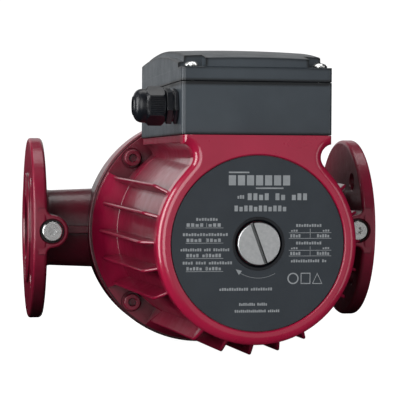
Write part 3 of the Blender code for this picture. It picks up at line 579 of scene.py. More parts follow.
def cross_recess(x, front, reach, half, low, high):
    """Two crossed bars that cut a screwdriver's cross between two heights."""
    return [
        block("recess_arm", (x - w, front - d, low), (x + w, front + d, high))
        for w, d in ((reach, half), (half, reach))
    ]


def hexagon(across_flats, turn=0.0):
    radius = across_flats / 2 / math.cos(math.pi / 6)
    return arc((0, 0), radius, turn, 360 + turn, 6)[:-1]


def tube(name, route, radius, sides, dome=0):
    """A round bar through (x, front, z) points, with a domed far end along +X if asked."""
    curve = bpy.data.curves.new(name, "CURVE")
    curve.dimensions = "3D"
    curve.bevel_depth = radius * MM
    curve.bevel_resolution = sides // 4 - 1
    curve.use_fill_caps = True
    end_x, end_front, end_z = route[-1]
    stations = [(*place, 1) for place in route]
    if dome:
        ends = arc((0, 0), 1, 90, 0, dome + 1)[1:-1]
        stations += [(end_x + along * radius, end_front, end_z, across) for along, across in ends]
    spline = curve.splines.new("POLY")
    spline.points.add(len(stations) - 1)
    for point, (x, front, z, scale) in zip(spline.points, stations):
        point.co = (x * MM, -front * MM, z * MM, 1)
        point.radius = scale
    holder = bpy.data.objects.new("holder", curve)
    mesh = bpy.data.meshes.new_from_object(holder)
    bpy.data.objects.remove(holder)
    bpy.data.curves.remove(curve)
    work = bmesh.new()
    work.from_mesh(mesh)
    bmesh.ops.remove_doubles(work, verts=work.verts, dist=0.00001)
    bmesh.ops.recalc_face_normals(work, faces=work.faces)
    work.to_mesh(mesh)
    work.free()
    mesh.materials.clear()
    return add(name, mesh)


def cluster(name, mesh, matrices):
    """One object made of copies of a mesh."""
    work = bmesh.new()
    for matrix in matrices:
        copy = mesh.copy()
        copy.transform(matrix)
        work.from_mesh(copy)
        bpy.data.meshes.remove(copy)
    return add(name, finished(work, name))


def bake(obj):
    """Replace the object's mesh by the one that its modifiers make."""
    depsgraph = bpy.context.evaluated_depsgraph_get()
    mesh = bpy.data.meshes.new_from_object(obj.evaluated_get(depsgraph))
    obj.modifiers.clear()
    obj.data = mesh


def combine(target, operation, tools):
    for tool in tools:
        modifier = target.modifiers.new(tool.name, "BOOLEAN")
        modifier.operation = operation
        modifier.object = tool
        modifier.solver = "EXACT"
    bpy.context.view_layer.update()
    bake(target)
    for tool in tools:
        bpy.data.objects.remove(tool)


def cut(target, *tools):
    combine(target, "DIFFERENCE", tools)


def join(target, *tools):
    combine(target, "UNION", tools)


def around_front_axis(angles, radius):
    return [
        Matrix.Translation(
            Vector((math.cos(math.radians(a)), 0, math.sin(math.radians(a)))) * radius * MM
        )
        @ FRONT
        for a in angles
    ]


def dress(obj, material, crease=32, weight=60):
    """Give an object its material, smooth shading and even normals on its flat faces."""
    obj.data.materials.clear()
    obj.data.materials.append(material)
    obj.data.shade_smooth()
    obj.data.set_sharp_from_angle(angle=math.radians(crease))
    normals = obj.modifiers.new("even_normals", "WEIGHTED_NORMAL")
    normals.keep_sharp = True
    normals.weight = weight


def piece(obj, body, slot, material, *nodes, crease=32):
    """A finished piece that rides on a body and stands for the named CAD nodes."""
    dress(obj, material, crease)
    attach(obj, body)
    if nodes:
        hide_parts(*nodes)
    return obj


# ---------------- pump housing


def pipe_profile(inner_end):
    """Flange and neck from the sealing face back to a flat or round end inside the drum."""
    back = FACE - FLANGE_THICKNESS
    grooves = []
    for i in range(6):
        radius = 28.5 + 2.6 * i
        grooves += [(radius - 0.5, FACE), (radius, FACE - GROOVE_DEPTH), (radius + 0.5, FACE)]
    return [
        (0, FACE),
        *grooves,
        (RAISED_FACE_RADIUS - 0.5, FACE),
        (RAISED_FACE_RADIUS, FACE - 0.5),
        *arc((RAISED_FACE_RADIUS + 0.8, FACE - RAISED_FACE_HEIGHT + 0.8), 0.8, 180, 270, 3),
        *arc((FLANGE_RADIUS - 2, FACE - RAISED_FACE_HEIGHT - 2), 2, 90, 0, 5),
        *arc((FLANGE_RADIUS - 3, back + 3), 3, 0, -90, 6),
        *arc((NECK_RADIUS + 7, back - 7), 7, 90, 180, 8),
        (NECK_ROOT_RADIUS, FACE - 57),
        *inner_end,
    ]


def suction_route():
    """The suction channel's centre line: an S bend behind the impeller, then straight in."""
    length = SUCTION_END - SUCTION_START
    radius = (length**2 + SUCTION_BACK**2) / (4 * SUCTION_BACK)
    sweep = math.degrees(2 * math.atan(SUCTION_BACK / length))
    first = arc((SUCTION_START, -radius), radius, 90, 90 - sweep, 10)
    last_centre = (SUCTION_END, radius - SUCTION_BACK)
    second = arc(last_centre, radius, 270 - sweep, 270, 10)
    route = [(SUCTION_START - 26, 0)] + first + second[1:] + [(DOME_START, -SUCTION_BACK)]
    return [(x, front, 0) for x, front in route]


def boss_outline():
    """The gauge boss seen from the front: a round lobe that flares into the flange's rear face."""
    rear = FACE - FLANGE_THICKNESS + GAP
    shoulder = BOSS_RADIUS + BOSS_FILLET
    flare = arc((rear - BOSS_FILLET, shoulder), BOSS_FILLET, 0, -90, 8)
    lobe = arc((PLUG_X, 0), BOSS_RADIUS, 100, 260, 24)
    mirrored = [(x, -z) for x, z in flare[::-1]]
    root = rear + FLANGE_THICKNESS / 2
    return [(root, shoulder), *flare, *lobe, *mirrored, (root, -shoulder)]


def make_pump_casting():
    seam = FRONT @ Matrix.Rotation(math.radians(1.1), 4, "Z")
    drum = turned(
        "pump_casting",
        [
            (0, DRUM_FRONT),
            *arc((DRUM_RADIUS - 1.2, DRUM_FRONT - 1.2), 1.2, 90, 0, 4),
            (DRUM_RADIUS, 14),
            *arc((DRUM_RADIUS - 12, 6), 12, 0, -90, 10),
            (0, DRUM_BACK),
        ],
        seam,
        steps=144,
    )
    round_end = arc((0, 45), NECK_ROOT_RADIUS, 0, -90, 12)
    flat_end = [(NECK_ROOT_RADIUS, 80), (0, 80)]
    outlet = turned("outlet_neck", pipe_profile(round_end), OUTLET, steps=112)
    inlet = turned("inlet_neck", pipe_profile(flat_end), INLET, steps=112)
    channel = tube("suction_channel", suction_route()[1:], NECK_RADIUS - 0.4, 64, 10)
    collar = rod("eye_collar", 29, 8 - SUCTION_BACK, 2, FRONT, steps=64)

    def inside_flange(x, _):
        return x > FACE - FLANGE_THICKNESS + GAP + 1

    boss = prism_mesh(
        "boss", boss_outline(), 8, BOSS_FRONT, round_top=1.8, segments=5, keep=inside_flange
    )
    half_turn = Matrix.Rotation(math.pi, 4, "Y")
    bosses = cluster("gauge_bosses", boss, [FRONT, half_turn @ FRONT])
    ribs = [
        block(f"neck_rib_{low}", (low, 26, -3.3), (low + 33, 35.6, 2.8), 0.9) for low in (-118, 85)
    ]
    join(drum, outlet, inlet, channel, collar, bosses, *ribs)

    chamber = turned(
        "chamber",
        [
            (0, DRUM_FRONT + 5),
            (SEAT_RADIUS, DRUM_FRONT + 5),
            (SEAT_RADIUS, SEAT_FLOOR),
            (CHAMBER_RADIUS, SEAT_FLOOR),
            *arc((CHAMBER_RADIUS - 5, CHAMBER_FLOOR + 5), 5, 0, -90, 6),
            (27.0 + GAP, CHAMBER_FLOOR),
            (27.0 + GAP, 0.2),
            (EYE_RADIUS, 0.2),
            (EYE_RADIUS, 3 - SUCTION_BACK),
            (0, 3 - SUCTION_BACK),
        ],
        FRONT,
        steps=72,
    )

    def port(name, low, turn):
        mouth = [(0, FACE + 5), (PORT_RADIUS + 1.2, FACE + 5), (PORT_RADIUS + 1.2, FACE + 0.1)]
        mouth += [(PORT_RADIUS, FACE - 1.1), (PORT_RADIUS, low), (0, low)]
        return turned(name, mouth, turn, steps=72)

    ports = (port("outlet_bore", 42, OUTLET), port("inlet_bore", -SUCTION_START - 6, INLET))
    channel_bore = tube("inlet_channel", suction_route(), SUCTION_RADIUS, 56, 10)
    low, high = FACE - FLANGE_THICKNESS, FACE - RAISED_FACE_HEIGHT
    wide = BOLT_HOLE_RADIUS + 0.7
    hole = lathe_mesh(
        "bolt_hole",
        [
            (0, high + 4),
            (wide, high + 4),
            (wide, high),
            (BOLT_HOLE_RADIUS, high - 0.7),
            (BOLT_HOLE_RADIUS, low + 0.7),
            (wide, low),
            (wide, low - 3),
            (0, low - 3),
        ],
        40,
    )
    places = [
        side @ Matrix.Rotation(math.radians(45 + 90 * i), 4, "Z")
        @ Matrix.Translation((BOLT_CIRCLE_RADIUS * MM, 0, 0))
        for side in (OUTLET, INLET)
        for i in range(4)
    ]
    bolt_holes = cluster("bolt_holes", hole, places)
    tapping = lathe_mesh("tapping", [(0, 42), (4.3, 42), (4.3, 18), (0, 18)], 24)
    tappings = cluster("tappings", tapping, around_front_axis(SCREW_ANGLES, SCREW_CIRCLE_RADIUS))
    cut(drum, chamber, *ports, channel_bore)
    profile = [(0, 76), (10.2, 76), (10.2, 72.5), (9.3, 71.6), (9.3, 69.8), (6.8, 69.8)]
    profile += [(6.8, 52), (3.5, 50), (3.5, 15), (0, 15)]
    holes = [
        turned(f"gauge_hole_{side}", profile, FRONT, (side * PLUG_X, 0, 0), 48) for side in (-1, 1)
    ]
    cut(drum, *holes, bolt_holes, tappings)
    piece(drum, "pump", "red_cast_iron", IRON_PAINT, "pump_housing")


def star_mesh(name, reach, depth, low, high):
    """A socket with six soft lobes between two heights along Z."""
    points = []
    steps = 48
    for i in range(steps):
        angle = 2 * math.pi * i / steps
        radius = reach - depth * (0.5 - 0.5 * math.cos(6 * angle))
        points.append((radius * math.cos(angle), radius * math.sin(angle)))
    return prism_mesh(name, points, low, high)


def make_gauge_plugs():
    for side, word in ((-1, "left"), (1, "right")):
        place = (side * PLUG_X, 0, 0)
        profile = [(0, 74), (4.5, 74), (7.1, 74), (7.8, 73.3), (7.8, 71.2), (6.5, 71.2)]
        for i in range(7):
            profile += [(6.5, 70.6 - 2 * i), (5.9, 69.9 - 2 * i), (5.9, 69.5 - 2 * i)]
            profile += [(6.5, 68.8 - 2 * i)]
        profile += [(6.2, 56), (0, 56)]
        plug = turned(f"gauge_stopper_{word}", profile, FRONT, place, 64)
        socket = add("socket", star_mesh("socket", 3.4, 0.9, 70.4, 76), FRONT, place)
        cut(plug, socket)
        piece(plug, "pump", "zinc_steel", ZINC, f"gauge_plug_{word}")


# ---------------- motor housing


def neck_outline(inset=0.0, low_angle=None):
    """The outline, seen from the front, of the round body and the neck that carries the box."""
    radius = RIM_RADIUS - inset
    tangent = math.radians(NECK_TANGENT)
    fillet = NECK_FILLET + inset
    centre_x = NECK_WAIST + NECK_FILLET
    centre_z = (RIM_RADIUS + NECK_FILLET - centre_x * math.cos(tangent)) / math.sin(tangent)
    half_width = NECK_HALF_WIDTH - inset / 2
    top_angle = math.degrees(math.acos((half_width - centre_x) / fillet))
    flank = arc((centre_x, centre_z), fillet, 180 + NECK_TANGENT, top_angle, 20)
    right = flank + [(half_width, NECK_TOP)]
    left = [(-x, z) for x, z in right][::-1]
    if low_angle is not None:
        side = math.radians(low_angle)
        foot = (radius * math.cos(side), radius * math.sin(side))
        return [foot, *right, *left, (-foot[0], foot[1])]
    body = arc((0, 0), radius, 180 - NECK_TANGENT, 360 + NECK_TANGENT, 96)
    return right + left + body


def fin_mesh():
    """A fin thins from root to edge, has a round edge and a chamfered front end."""
    work = bmesh.new()
    # (distance to the front, radius of the fin's edge)
    stations = [(44, 85.5), (60, 84.9), (100, 83.4), (150, 81.5), (200, 79.7), (237, 78.3)]
    stations += [(240, 76.2), (244, 73.1), (BODY_FRONT, 68.3)]
    rows = []
    foot, root, tip = STATOR_BORE + 1.5, 1.75, 1.2
    for front, edge in stations:
        section = [(foot, root), (edge - tip, tip)]
        section += [(edge - tip + x, y) for x, y in arc((0, 0), tip, 90, -90, 6)[1:-1]]
        section += [(edge - tip, -tip), (foot, -root)]
        rows.append([(x, front, y) for x, y in section])
    loft(work, rows)
    return finished(work, "fin")


def fin_place(angle):
    """A fin's local X points out from the motor axis, its local Y to the front."""
    a = math.radians(angle)
    return Matrix(
        (
            (math.cos(a), 0, math.sin(a), 0),
            (0, -1, 0, 0),
            (math.sin(a), 0, -math.cos(a), 0),
            (0, 0, 0, 1),
        )
    )


def make_motor_casting():
    waist = arc((BODY_REAR_RADIUS + 2.6, CONE_END + 0.9), 2.4, 180, 232, 5)
    housing = turned(
        "motor_casting",
        [
            (0, BODY_FRONT),
            (BODY_FRONT_RADIUS, BODY_FRONT),
            *waist,
            *arc((MOTOR_FLANGE_RADIUS - 1.2, FLANGE_FRONT - 0.1), 1.2, 60, 0, 4),
            (MOTOR_FLANGE_RADIUS, FLANGE_REAR),
            (0, FLANGE_REAR),
        ],
        FRONT,
        steps=144,
    )
    half = 13.8
    sector = arc((0, 0), BODY_REAR_RADIUS + 0.8, -half, half, 12)
    sector += arc((0, 0), DRUM_RADIUS + 5, half, -half, 12)
    pocket = prism_mesh("pocket", sector, FLANGE_FRONT, CONE_END + 4)
    turns = [FRONT @ Matrix.Rotation(math.radians(a), 4, "Z") for a in SCREW_ANGLES]
    pockets = cluster("pockets", pocket, turns)
    spot = lathe_mesh("spot_face", [(0, 52), (8.3, 52), (8.3, 46.0), (7.7, 45.4), (0, 45.4)], 48)
    places = around_front_axis(SCREW_ANGLES, SCREW_CIRCLE_RADIUS)
    cut(housing, pockets, cluster("spot_faces", spot, places))

    angles = [a for low, high in FIN_SECTORS for a in range(low, high + 1, FIN_STEP)]
    fins = cluster("fins", fin_mesh(), [fin_place(a) for a in angles])
    neck = prism("neck", neck_outline(1.5, 35), NECK_REAR, BODY_FRONT, FRONT, round_bottom=1.0)
    join(housing, fins, neck)

    bore = rod("stator_bore", STATOR_BORE, FLANGE_REAR - 5, BODY_FRONT + 5, FRONT, steps=96)
    clearance = lathe_mesh("clearance", [(0, 52), (4.6, 52), (4.6, 30), (0, 30)], 24)
    seat = NECK_TOP - 1.5
    profile = [(0, seat + 8), (14.3, seat + 8), (14.3, seat), (8, seat), (8, 50), (0, 50)]
    lead_hole = turned("lead_hole", profile, at=(0, -LEAD_FRONT, 0), steps=40)
    box_room = block("box_room", (-60, FLANGE_FRONT + 1, NECK_TOP), (60, CONE_END + 10, 100))
    screws = [rod("tap", 2.8, 64.5, 78, at=(x, -front, 0), steps=20) for x, front in BOX_SCREWS]
    cut(housing, box_room, bore, cluster("clearances", clearance, places), lead_hole, *screws)
    piece(housing, "pump", "red_cast", CAST_PAINT, "motor_housing", crease=38)


def make_front_rim():
    def at_box(_, z):
        return z > NECK_TOP - 0.01

    rim = prism(
        "front_rim", neck_outline(), COVER_REAR, COVER_FRONT, FRONT,
        round_top=RIM_ROUND, segments=9, keep=at_box,
    )
    lip = PLATE_RADIUS + 0.4
    recess = turned(
        "recess",
        [
            (0, COVER_FRONT + 5),
            (lip + 1.2, COVER_FRONT + 5),
            *arc((lip + 1.2, COVER_FRONT - 1.2), 1.2, 90, 180, 5),
            (lip, PLATE_FLOOR),
            (VENT_RECESS_RADIUS + GAP, PLATE_FLOOR),
            (VENT_RECESS_RADIUS + GAP, 259.5),
            (13, 259.5),
            (13, COVER_REAR - 5),
            (0, COVER_REAR - 5),
        ],
        FRONT,
        steps=144,
    )
    hollow = rod("hollow", 62, COVER_REAR - 5, 255, FRONT, steps=96)
    cut(rim, recess, hollow)
    piece(rim, "pump", "red_paint", PAINT, "front_cover", crease=30)


def make_motor_bolts():
    head = FLANGE_FRONT + GAP
    for number, place in enumerate(around_front_axis(SCREW_ANGLES, SCREW_CIRCLE_RADIUS), 1):
        centre = place.translation / MM
        profile = [(0, head + 8), (5.7, head + 8), *arc((5.7, head + 7.2), 0.8, 90, 0, 4)]
        profile += [(6.5, head), (4.0, head), (4.0, 21), (0, 21)]
        bolt = turned(f"motor_bolt_{number}", profile, FRONT, centre, 56)
        socket = prism("socket", hexagon(6, 12), head + 4, head + 12, FRONT, centre)
        bevel = turned(
            "lead_in", [(0, head + 9), (4.3, head + 9), (3.0, head + 7.2), (0, head + 7.2)],
            FRONT, centre, 40,
        )
        cut(bolt, socket, bevel)
        piece(bolt, "pump", "red_paint_screws", CAST_PAINT, f"motor_screw_{number}")


# ---------------- nameplate and vent plug


def bar(x, z, width, height):
    return [(x, z), (x + width, z), (x + width, z + height), (x, z + height)]


def word_line(left, right, middle, words, height):
    """Plain blocks standing for words between two ends; each word is a number of blocks."""
    step = (right - left) / (sum(words) + 0.9 * (len(words) - 1))
    x = left
    shapes = []
    for count in words:
        for i in range(count):
            tall = height * (1.0 if (i + count) % 3 else 0.78)
            shapes.append(bar(x + i * step, middle - height / 2, step * 0.7, tall))
        x += (count + 0.9) * step
    return shapes


def outline_ring(points, width):
    """Four-sided strips that follow a closed outline of (x, z) points."""
    centre = Vector((sum(x for x, _ in points), sum(z for _, z in points))) / len(points)
    strips = []
    for first, second in zip(points, points[1:] + points[:1]):
        a, b = Vector(first), Vector(second)
        inner = [p + (centre - p).normalized() * width for p in (b, a)]
        strips.append([tuple(a), tuple(b), *(tuple(p) for p in inner)])
    return strips


def make_nameplate():
    plate = turned(
        "name_disc",
        [
            (VENT_RECESS_RADIUS, PLATE_FRONT),
            *rounded([(VENT_RECESS_RADIUS + 0.1, PLATE_FRONT), (PLATE_RADIUS, PLATE_FRONT),
                      (PLATE_RADIUS, PLATE_FLOOR + GAP)], 0.4, 3),
            (VENT_RECESS_RADIUS, PLATE_FLOOR + GAP),
        ],
        FRONT,
        steps=144,
    )
    piece(plate, "pump", "plate_plastic", PLATE, "nameplate")
    inner = VENT_HEAD_RADIUS + 0.3
    surround = turned(
        "vent_surround",
        [
            (inner, PLATE_FLOOR - 0.6),
            (inner + 0.7, PLATE_FLOOR - 0.2),
            (inner + 1.0, PLATE_FRONT - 0.2),
            (inner + 1.4, PLATE_FRONT + 0.3),
            *arc((VENT_RECESS_RADIUS + 0.7, PLATE_FRONT + 0.05), 0.25, 90, 0, 4),
            (VENT_RECESS_RADIUS + 0.95, PLATE_FRONT),
            (VENT_RECESS_RADIUS - 0.05, PLATE_FRONT),
            (VENT_RECESS_RADIUS - 0.05, 259.8),
            (inner, 259.8),
        ],
        FRONT,
        steps=96,
    )
    piece(surround, "pump", "plate_plastic", BLACK)


def make_print():
    """Generic marks on the nameplate: plain blocks, rules and a turning arrow, no lettering."""
    shapes = [bar(-20.5 + 6.2 * i, 39.2, 4.9, 6.8) for i in range(7)]
    shapes += [bar(-20.5, 47.4, 14, 1.0), bar(-2, 36.8, 19, 1.0)]
    shapes += word_line(-14.5, -9.5, 31.4, (3,), 2.4)
    shapes += word_line(-7.5, 34.5, 31.6, (4, 2, 3), 4.6)
    shapes += word_line(-16.5, 20.0, 23.7, (11,), 3.9)
    left = (
        (16.4, -42.5, -27.5, (8,), (4, 3)),
        (6.2, -51.5, -20.5, (16,), (4, 4)),
        (-4.0, -53.0, -19.5, (9, 3, 7), (4, 6)),
        (-12.8, -51.5, -17.5, (4, 4, 9), (5, 5)),
    )
    for z, start, end, title, values in left:
        shapes += word_line(start, end, z, title, 1.9)
        shapes += word_line(-49.0, -25.0, z - 3.8, values, 2.3)
        shapes += [bar(-49.5, z - 5.9, 25.5, 0.35), bar(-35.6, z - 5.2, 0.35, 2.8)]
    for z in (12.2, 0.3):
        shapes += word_line(26.0, 44.0, z, (10,), 1.9)
        for start, end, drop, word, height in (
            (22.5, 27.5, 3.5, 3, 1.3), (44.5, 49.5, 3.5, 3, 1.3),
            (22.0, 29.5, 7.0, 4, 2.2), (40.5, 49.5, 7.0, 5, 2.2),
        ):
            shapes += word_line(start, end, z - drop, (word,), height)
        shapes += [bar(21, z - 5.1, 29.5, 0.35), bar(21, z - 8.9, 29.5, 0.35)]
        shapes.append(bar(35.6, z - 8.4, 0.35, 6.2))
    shapes += word_line(22.5, 47.5, -11.8, (12, 2), 1.9)
    shapes += outline_ring(arc((24.0, -23.6), 3.9, 0, 360, 28)[:-1], 0.9)
    shapes += outline_ring(bar(29.3, -27.4, 6.8, 7.6), 0.9)
    shapes += outline_ring([(37.2, -27.4), (44.4, -27.4), (40.8, -19.8)], 0.9)
    shapes += word_line(-26.5, 10.0, -30.6, (12, 9), 1.9)
    shapes += word_line(-13.0, 6.5, -40.8, (8, 5), 1.9)
    shapes += word_line(-16.0, 15.0, -45.4, (16, 6), 1.8)
    sweep = arc((0, 0), 23.3, 237, 300, 26)
    for (ax, az), (bx, bz) in zip(sweep, sweep[1:]):
        shapes.append([(ax, az), (bx, bz), (bx * 0.99, bz * 0.99), (ax * 0.99, az * 0.99)])
    tip, foot = (Vector(spot) for spot in arc((0, 0), 23.1, 228, 238, 1))
    side = (foot - tip).orthogonal().normalized() * 1.7
    shapes.append([tuple(tip), tuple(foot + side), tuple(foot - side)])
    back, raised = PLATE_FRONT - 0.05, PLATE_FRONT + 0.08
    work = bmesh.new()
    for points in shapes:
        loft(work, [[(x, -front, z) for x, z in points] for front in (back, raised)])
    printed = add("nameplate_print", finished(work, "nameplate_print"))
    piece(printed, "pump", "plate_plastic", PRINT)


def make_vent():
    head = VENT_HEAD_RADIUS
    plug = turned(
        "vent_plug_turned",
        [
            (0, 267.35),
            (head - 1.6, 267.4),
            *arc((head - 0.7, 266.7), 0.7, 90, 0, 4),
            (head, 262.4),
            (head - 0.4, 262),
            (12.4, 262),
            (12.4, 255.6),
            (8.0, 255.6),
            (7.4, 254.8),
            (8.0, 254),
            (8.0, 244),
            (7.0, 243),
            (0, 243),
        ],
        FRONT,
        steps=112,
    )
    slot = prism("slot", bar(-20, -1.2, 40, 2.4), 264.2, 270, round_bottom=0.5, segments=3)
    slot.data.transform(FRONT @ Matrix.Rotation(math.radians(90 + VENT_SLOT_TILT), 4, "Z"))
    cut(plug, slot)
    brushed = turned_metal(
        "brushed_vent_steel", (0.72, 0.74, 0.75), (0.86, 0.87, 0.88), (0.28, 0.42), 0.35, 0.02
    )
    piece(plug, "vent_screw", "zinc_steel", brushed, "vent_plug")


# ---------------- terminal box


def cover_screw_places():
    return [
        (side * x, -front, 0) for x, front in (FRONT_SCREW, REAR_SCREW) for side in (-1, 1)
    ]


def make_box_lower():
    outline = rounded_rectangle(BOX_HALF_WIDTH, BOX_FRONT, BOX_REAR, 3, 8)
    base = prism(
        "box_lower", outline, BOX_BOTTOM, BOX_SPLIT, round_top=0.35, round_bottom=0.6, segments=3
    )
    wall = BOX_WALL
    inner = rounded_rectangle(BOX_HALF_WIDTH - wall, BOX_FRONT - wall, BOX_REAR + wall, 2)
    rebate = rounded_rectangle(BOX_HALF_WIDTH - 1.4, BOX_FRONT - 1.4, BOX_REAR + 1.4, 2.2)
    floor = BOX_BOTTOM + wall
    cut(
        base,
        prism("cavity", inner, floor, BOX_SPLIT + 5, round_bottom=0.8, segments=2),
        prism("rebate", rebate, BOX_SPLIT - 1.6, BOX_SPLIT + 5),
    )

    def rods(name, places, radius, low, high, steps):
        return [rod(name, radius, low, high, at=place, steps=steps) for place in places]

    corners = cover_screw_places()
    posts = rods("post", corners, POST_RADIUS, floor - 1, BOX_SPLIT - 2, 32)
    ribs = [block("rib", (-50, f, floor - 1), (50, f + 1.6, floor + 2.4), 0.3) for f in (84, 220)]
    join(base, *posts, *ribs)
    screws = [(x, -front, 0) for x, front in BOX_SCREWS]
    holes = rods("post_hole", corners, 2.9, 86, BOX_SPLIT + 5, 20)
    holes += rods("head_hole", screws, 5.0, BOX_BOTTOM + 2.9, floor + 5, 28)
    holes += rods("shank_hole", screws, 2.8, BOX_BOTTOM - 5, floor + 5, 20)
    gland_place = (0, -GLAND_FRONT, GLAND_HEIGHT)
    cut(
        base,
        rod("lead_hole", 7, BOX_BOTTOM - 5, floor + 5, at=(0, -LEAD_FRONT, 0), steps=40),
        rod("gland_hole", THREAD_RADIUS + GAP, 46, 57, INLET, gland_place, steps=48),
        *holes,
    )
    piece(base, "pump", "slate_plastic", SLATE, "terminal_box_base", crease=35)


def crown_height(front):
    """Height of the cover's middle line, at a distance in front of the origin."""
    ahead = front - CROWN_PEAK
    if ahead > 0:
        return CROWN_TOP - CROWN_FRONT_DROP * (ahead / (BOX_FRONT - CROWN_PEAK)) ** 2
    return CROWN_TOP - CROWN_REAR_DROP * (ahead / (CROWN_PEAK - BOX_REAR)) ** 2


def shelf_drop(front):
    """How far the shelf lies below the shoulder; a little more towards the front."""
    return 3.2 + 1.6 * (front - BOX_REAR) / (BOX_FRONT - BOX_REAR)


def crown_section(front, inset, soft):
    """The cover's cross-section: upright sides, a shelf, a step and a soft camber."""
    half = BOX_HALF_WIDTH - inset
    inner = half - SHELF_WIDTH
    shoulder = crown_height(front) - CAMBER - inset
    shelf = shoulder - shelf_drop(front)
    right = [(half, LEDGE - 4), (half, shelf), (inner, shelf + 0.4), (inner - 0.2, shoulder)]
    right.append((0, shoulder + CAMBER))
    curve = rounded(right, soft, 4)[:-1]
    camber = [(inner * t, shoulder + CAMBER * (1 - t**2)) for t in (0.8, 0.6, 0.4, 0.2, 0)]
    half_line = curve + camber
    return half_line + [(-x, z) for x, z in half_line[-2::-1]]


def crown_mesh(name, front, rear, inset, soft):
    """The raised part of the cover, lofted from front to rear, with rounded end edges."""
    turn = [math.radians(30 * i) for i in range(4)]
    rows = [(front - soft * (1 - math.sin(a)), soft * (1 - math.cos(a))) for a in turn[::-1]]
    span = rear - front + 2 * soft
    count = 28
    rows += [(front - soft + span * i / count, 0) for i in range(1, count)]
    rows += [(rear + soft * (1 - math.sin(a)), soft * (1 - math.cos(a))) for a in turn]
    work = bmesh.new()
    loft(work, [
        [(x, -place, z) for x, z in crown_section(place, inset + sink, soft)]
        for place, sink in rows
    ])
    return finished(work, name)


def notches(name, grow):
    """The two open corners at the front where the cover screws sit on the ledge."""
    blocks = []
    for side in (-1, 1):
        x0, x1 = sorted((side * (NOTCH_INNER - grow), side * (BOX_HALF_WIDTH + 5)))
        low, high = (x0, NOTCH_REAR - grow, LEDGE - grow), (x1, BOX_FRONT + 5, CROWN_TOP + 5)
        blocks.append(block(f"{name}_{side}", low, high))
    return blocks


def make_box_lid():
    bottom = BOX_SPLIT + GAP
    outline = rounded_rectangle(BOX_HALF_WIDTH, BOX_FRONT, BOX_REAR, 3, 8)
    lid = prism(
        "box_lid", outline, bottom, LEDGE, round_top=1.2, round_bottom=0.35, segments=4
    )
    crown = add("crown", crown_mesh("crown", BOX_FRONT - 1.2, BOX_REAR + 0.8, 0.15, 0.9))
    cut(crown, *notches("notch", 0))
    join(lid, crown)

    inset = CROWN_WALL
    inner = rounded_rectangle(BOX_HALF_WIDTH - inset, BOX_FRONT - inset, BOX_REAR + inset, 2)
    hollow_mesh = crown_mesh("hollow", BOX_FRONT - 4.2, BOX_REAR + 3.6, inset + 0.4, 0.7)
    hollow = add("crown_hollow", hollow_mesh)
    cut(hollow, *notches("notch_wall", inset))
    skirt = prism("skirt_hollow", inner, bottom - 5, LEDGE - inset)
    places = cover_screw_places()
    walls, wells, holes = [], [], []
    for number, place in enumerate(places, 1):
        if number > 2:
            low, high = LEDGE - inset - 4, CROWN_TOP + 5
            walls.append(rod(f"well_wall_{number}", WELL_RADIUS + 2, low, high, at=place, steps=40))
            wells.append(rod(f"well_{number}", WELL_RADIUS, LEDGE, high, at=place, steps=40))
        holes.append(rod(f"cover_hole_{number}", 2.9, bottom - 5, LEDGE + 2, at=place, steps=20))
    cut(hollow, *walls)
    cut(lid, *wells, *holes, hollow, skirt)
    piece(lid, "box_cover", "slate_plastic", SLATE, "terminal_cover", crease=30)


def make_lid_screws():
    floor = LEDGE + GAP
    for number, place in enumerate(cover_screw_places(), 1):
        profile = [(0, floor + 3.3), *arc((0, floor + 3.3 - 6.6), 6.6, 84, 44, 6)]
        profile += [(5.2, floor + 0.9), (5.2, floor + 0.2), (5.0, floor), (2.5, floor)]
        for i in range(10):
            height = floor - 10 - 1.6 * i
            profile += [(2.5, height), (2.0, height - 0.7), (2.5, height - 1.4)]
        profile += [(2.5, 90), (0, 90)]
        screw = turned(f"lid_screw_{number}", profile, at=place, steps=40)
        cut(screw, *cross_recess(place[0], -place[1], 2.9, 0.55, floor + 1.5, floor + 6))
        piece(screw, "box_cover", "zinc_steel", ZINC, f"cover_screw_{number}")


# ---------------- inside the terminal box


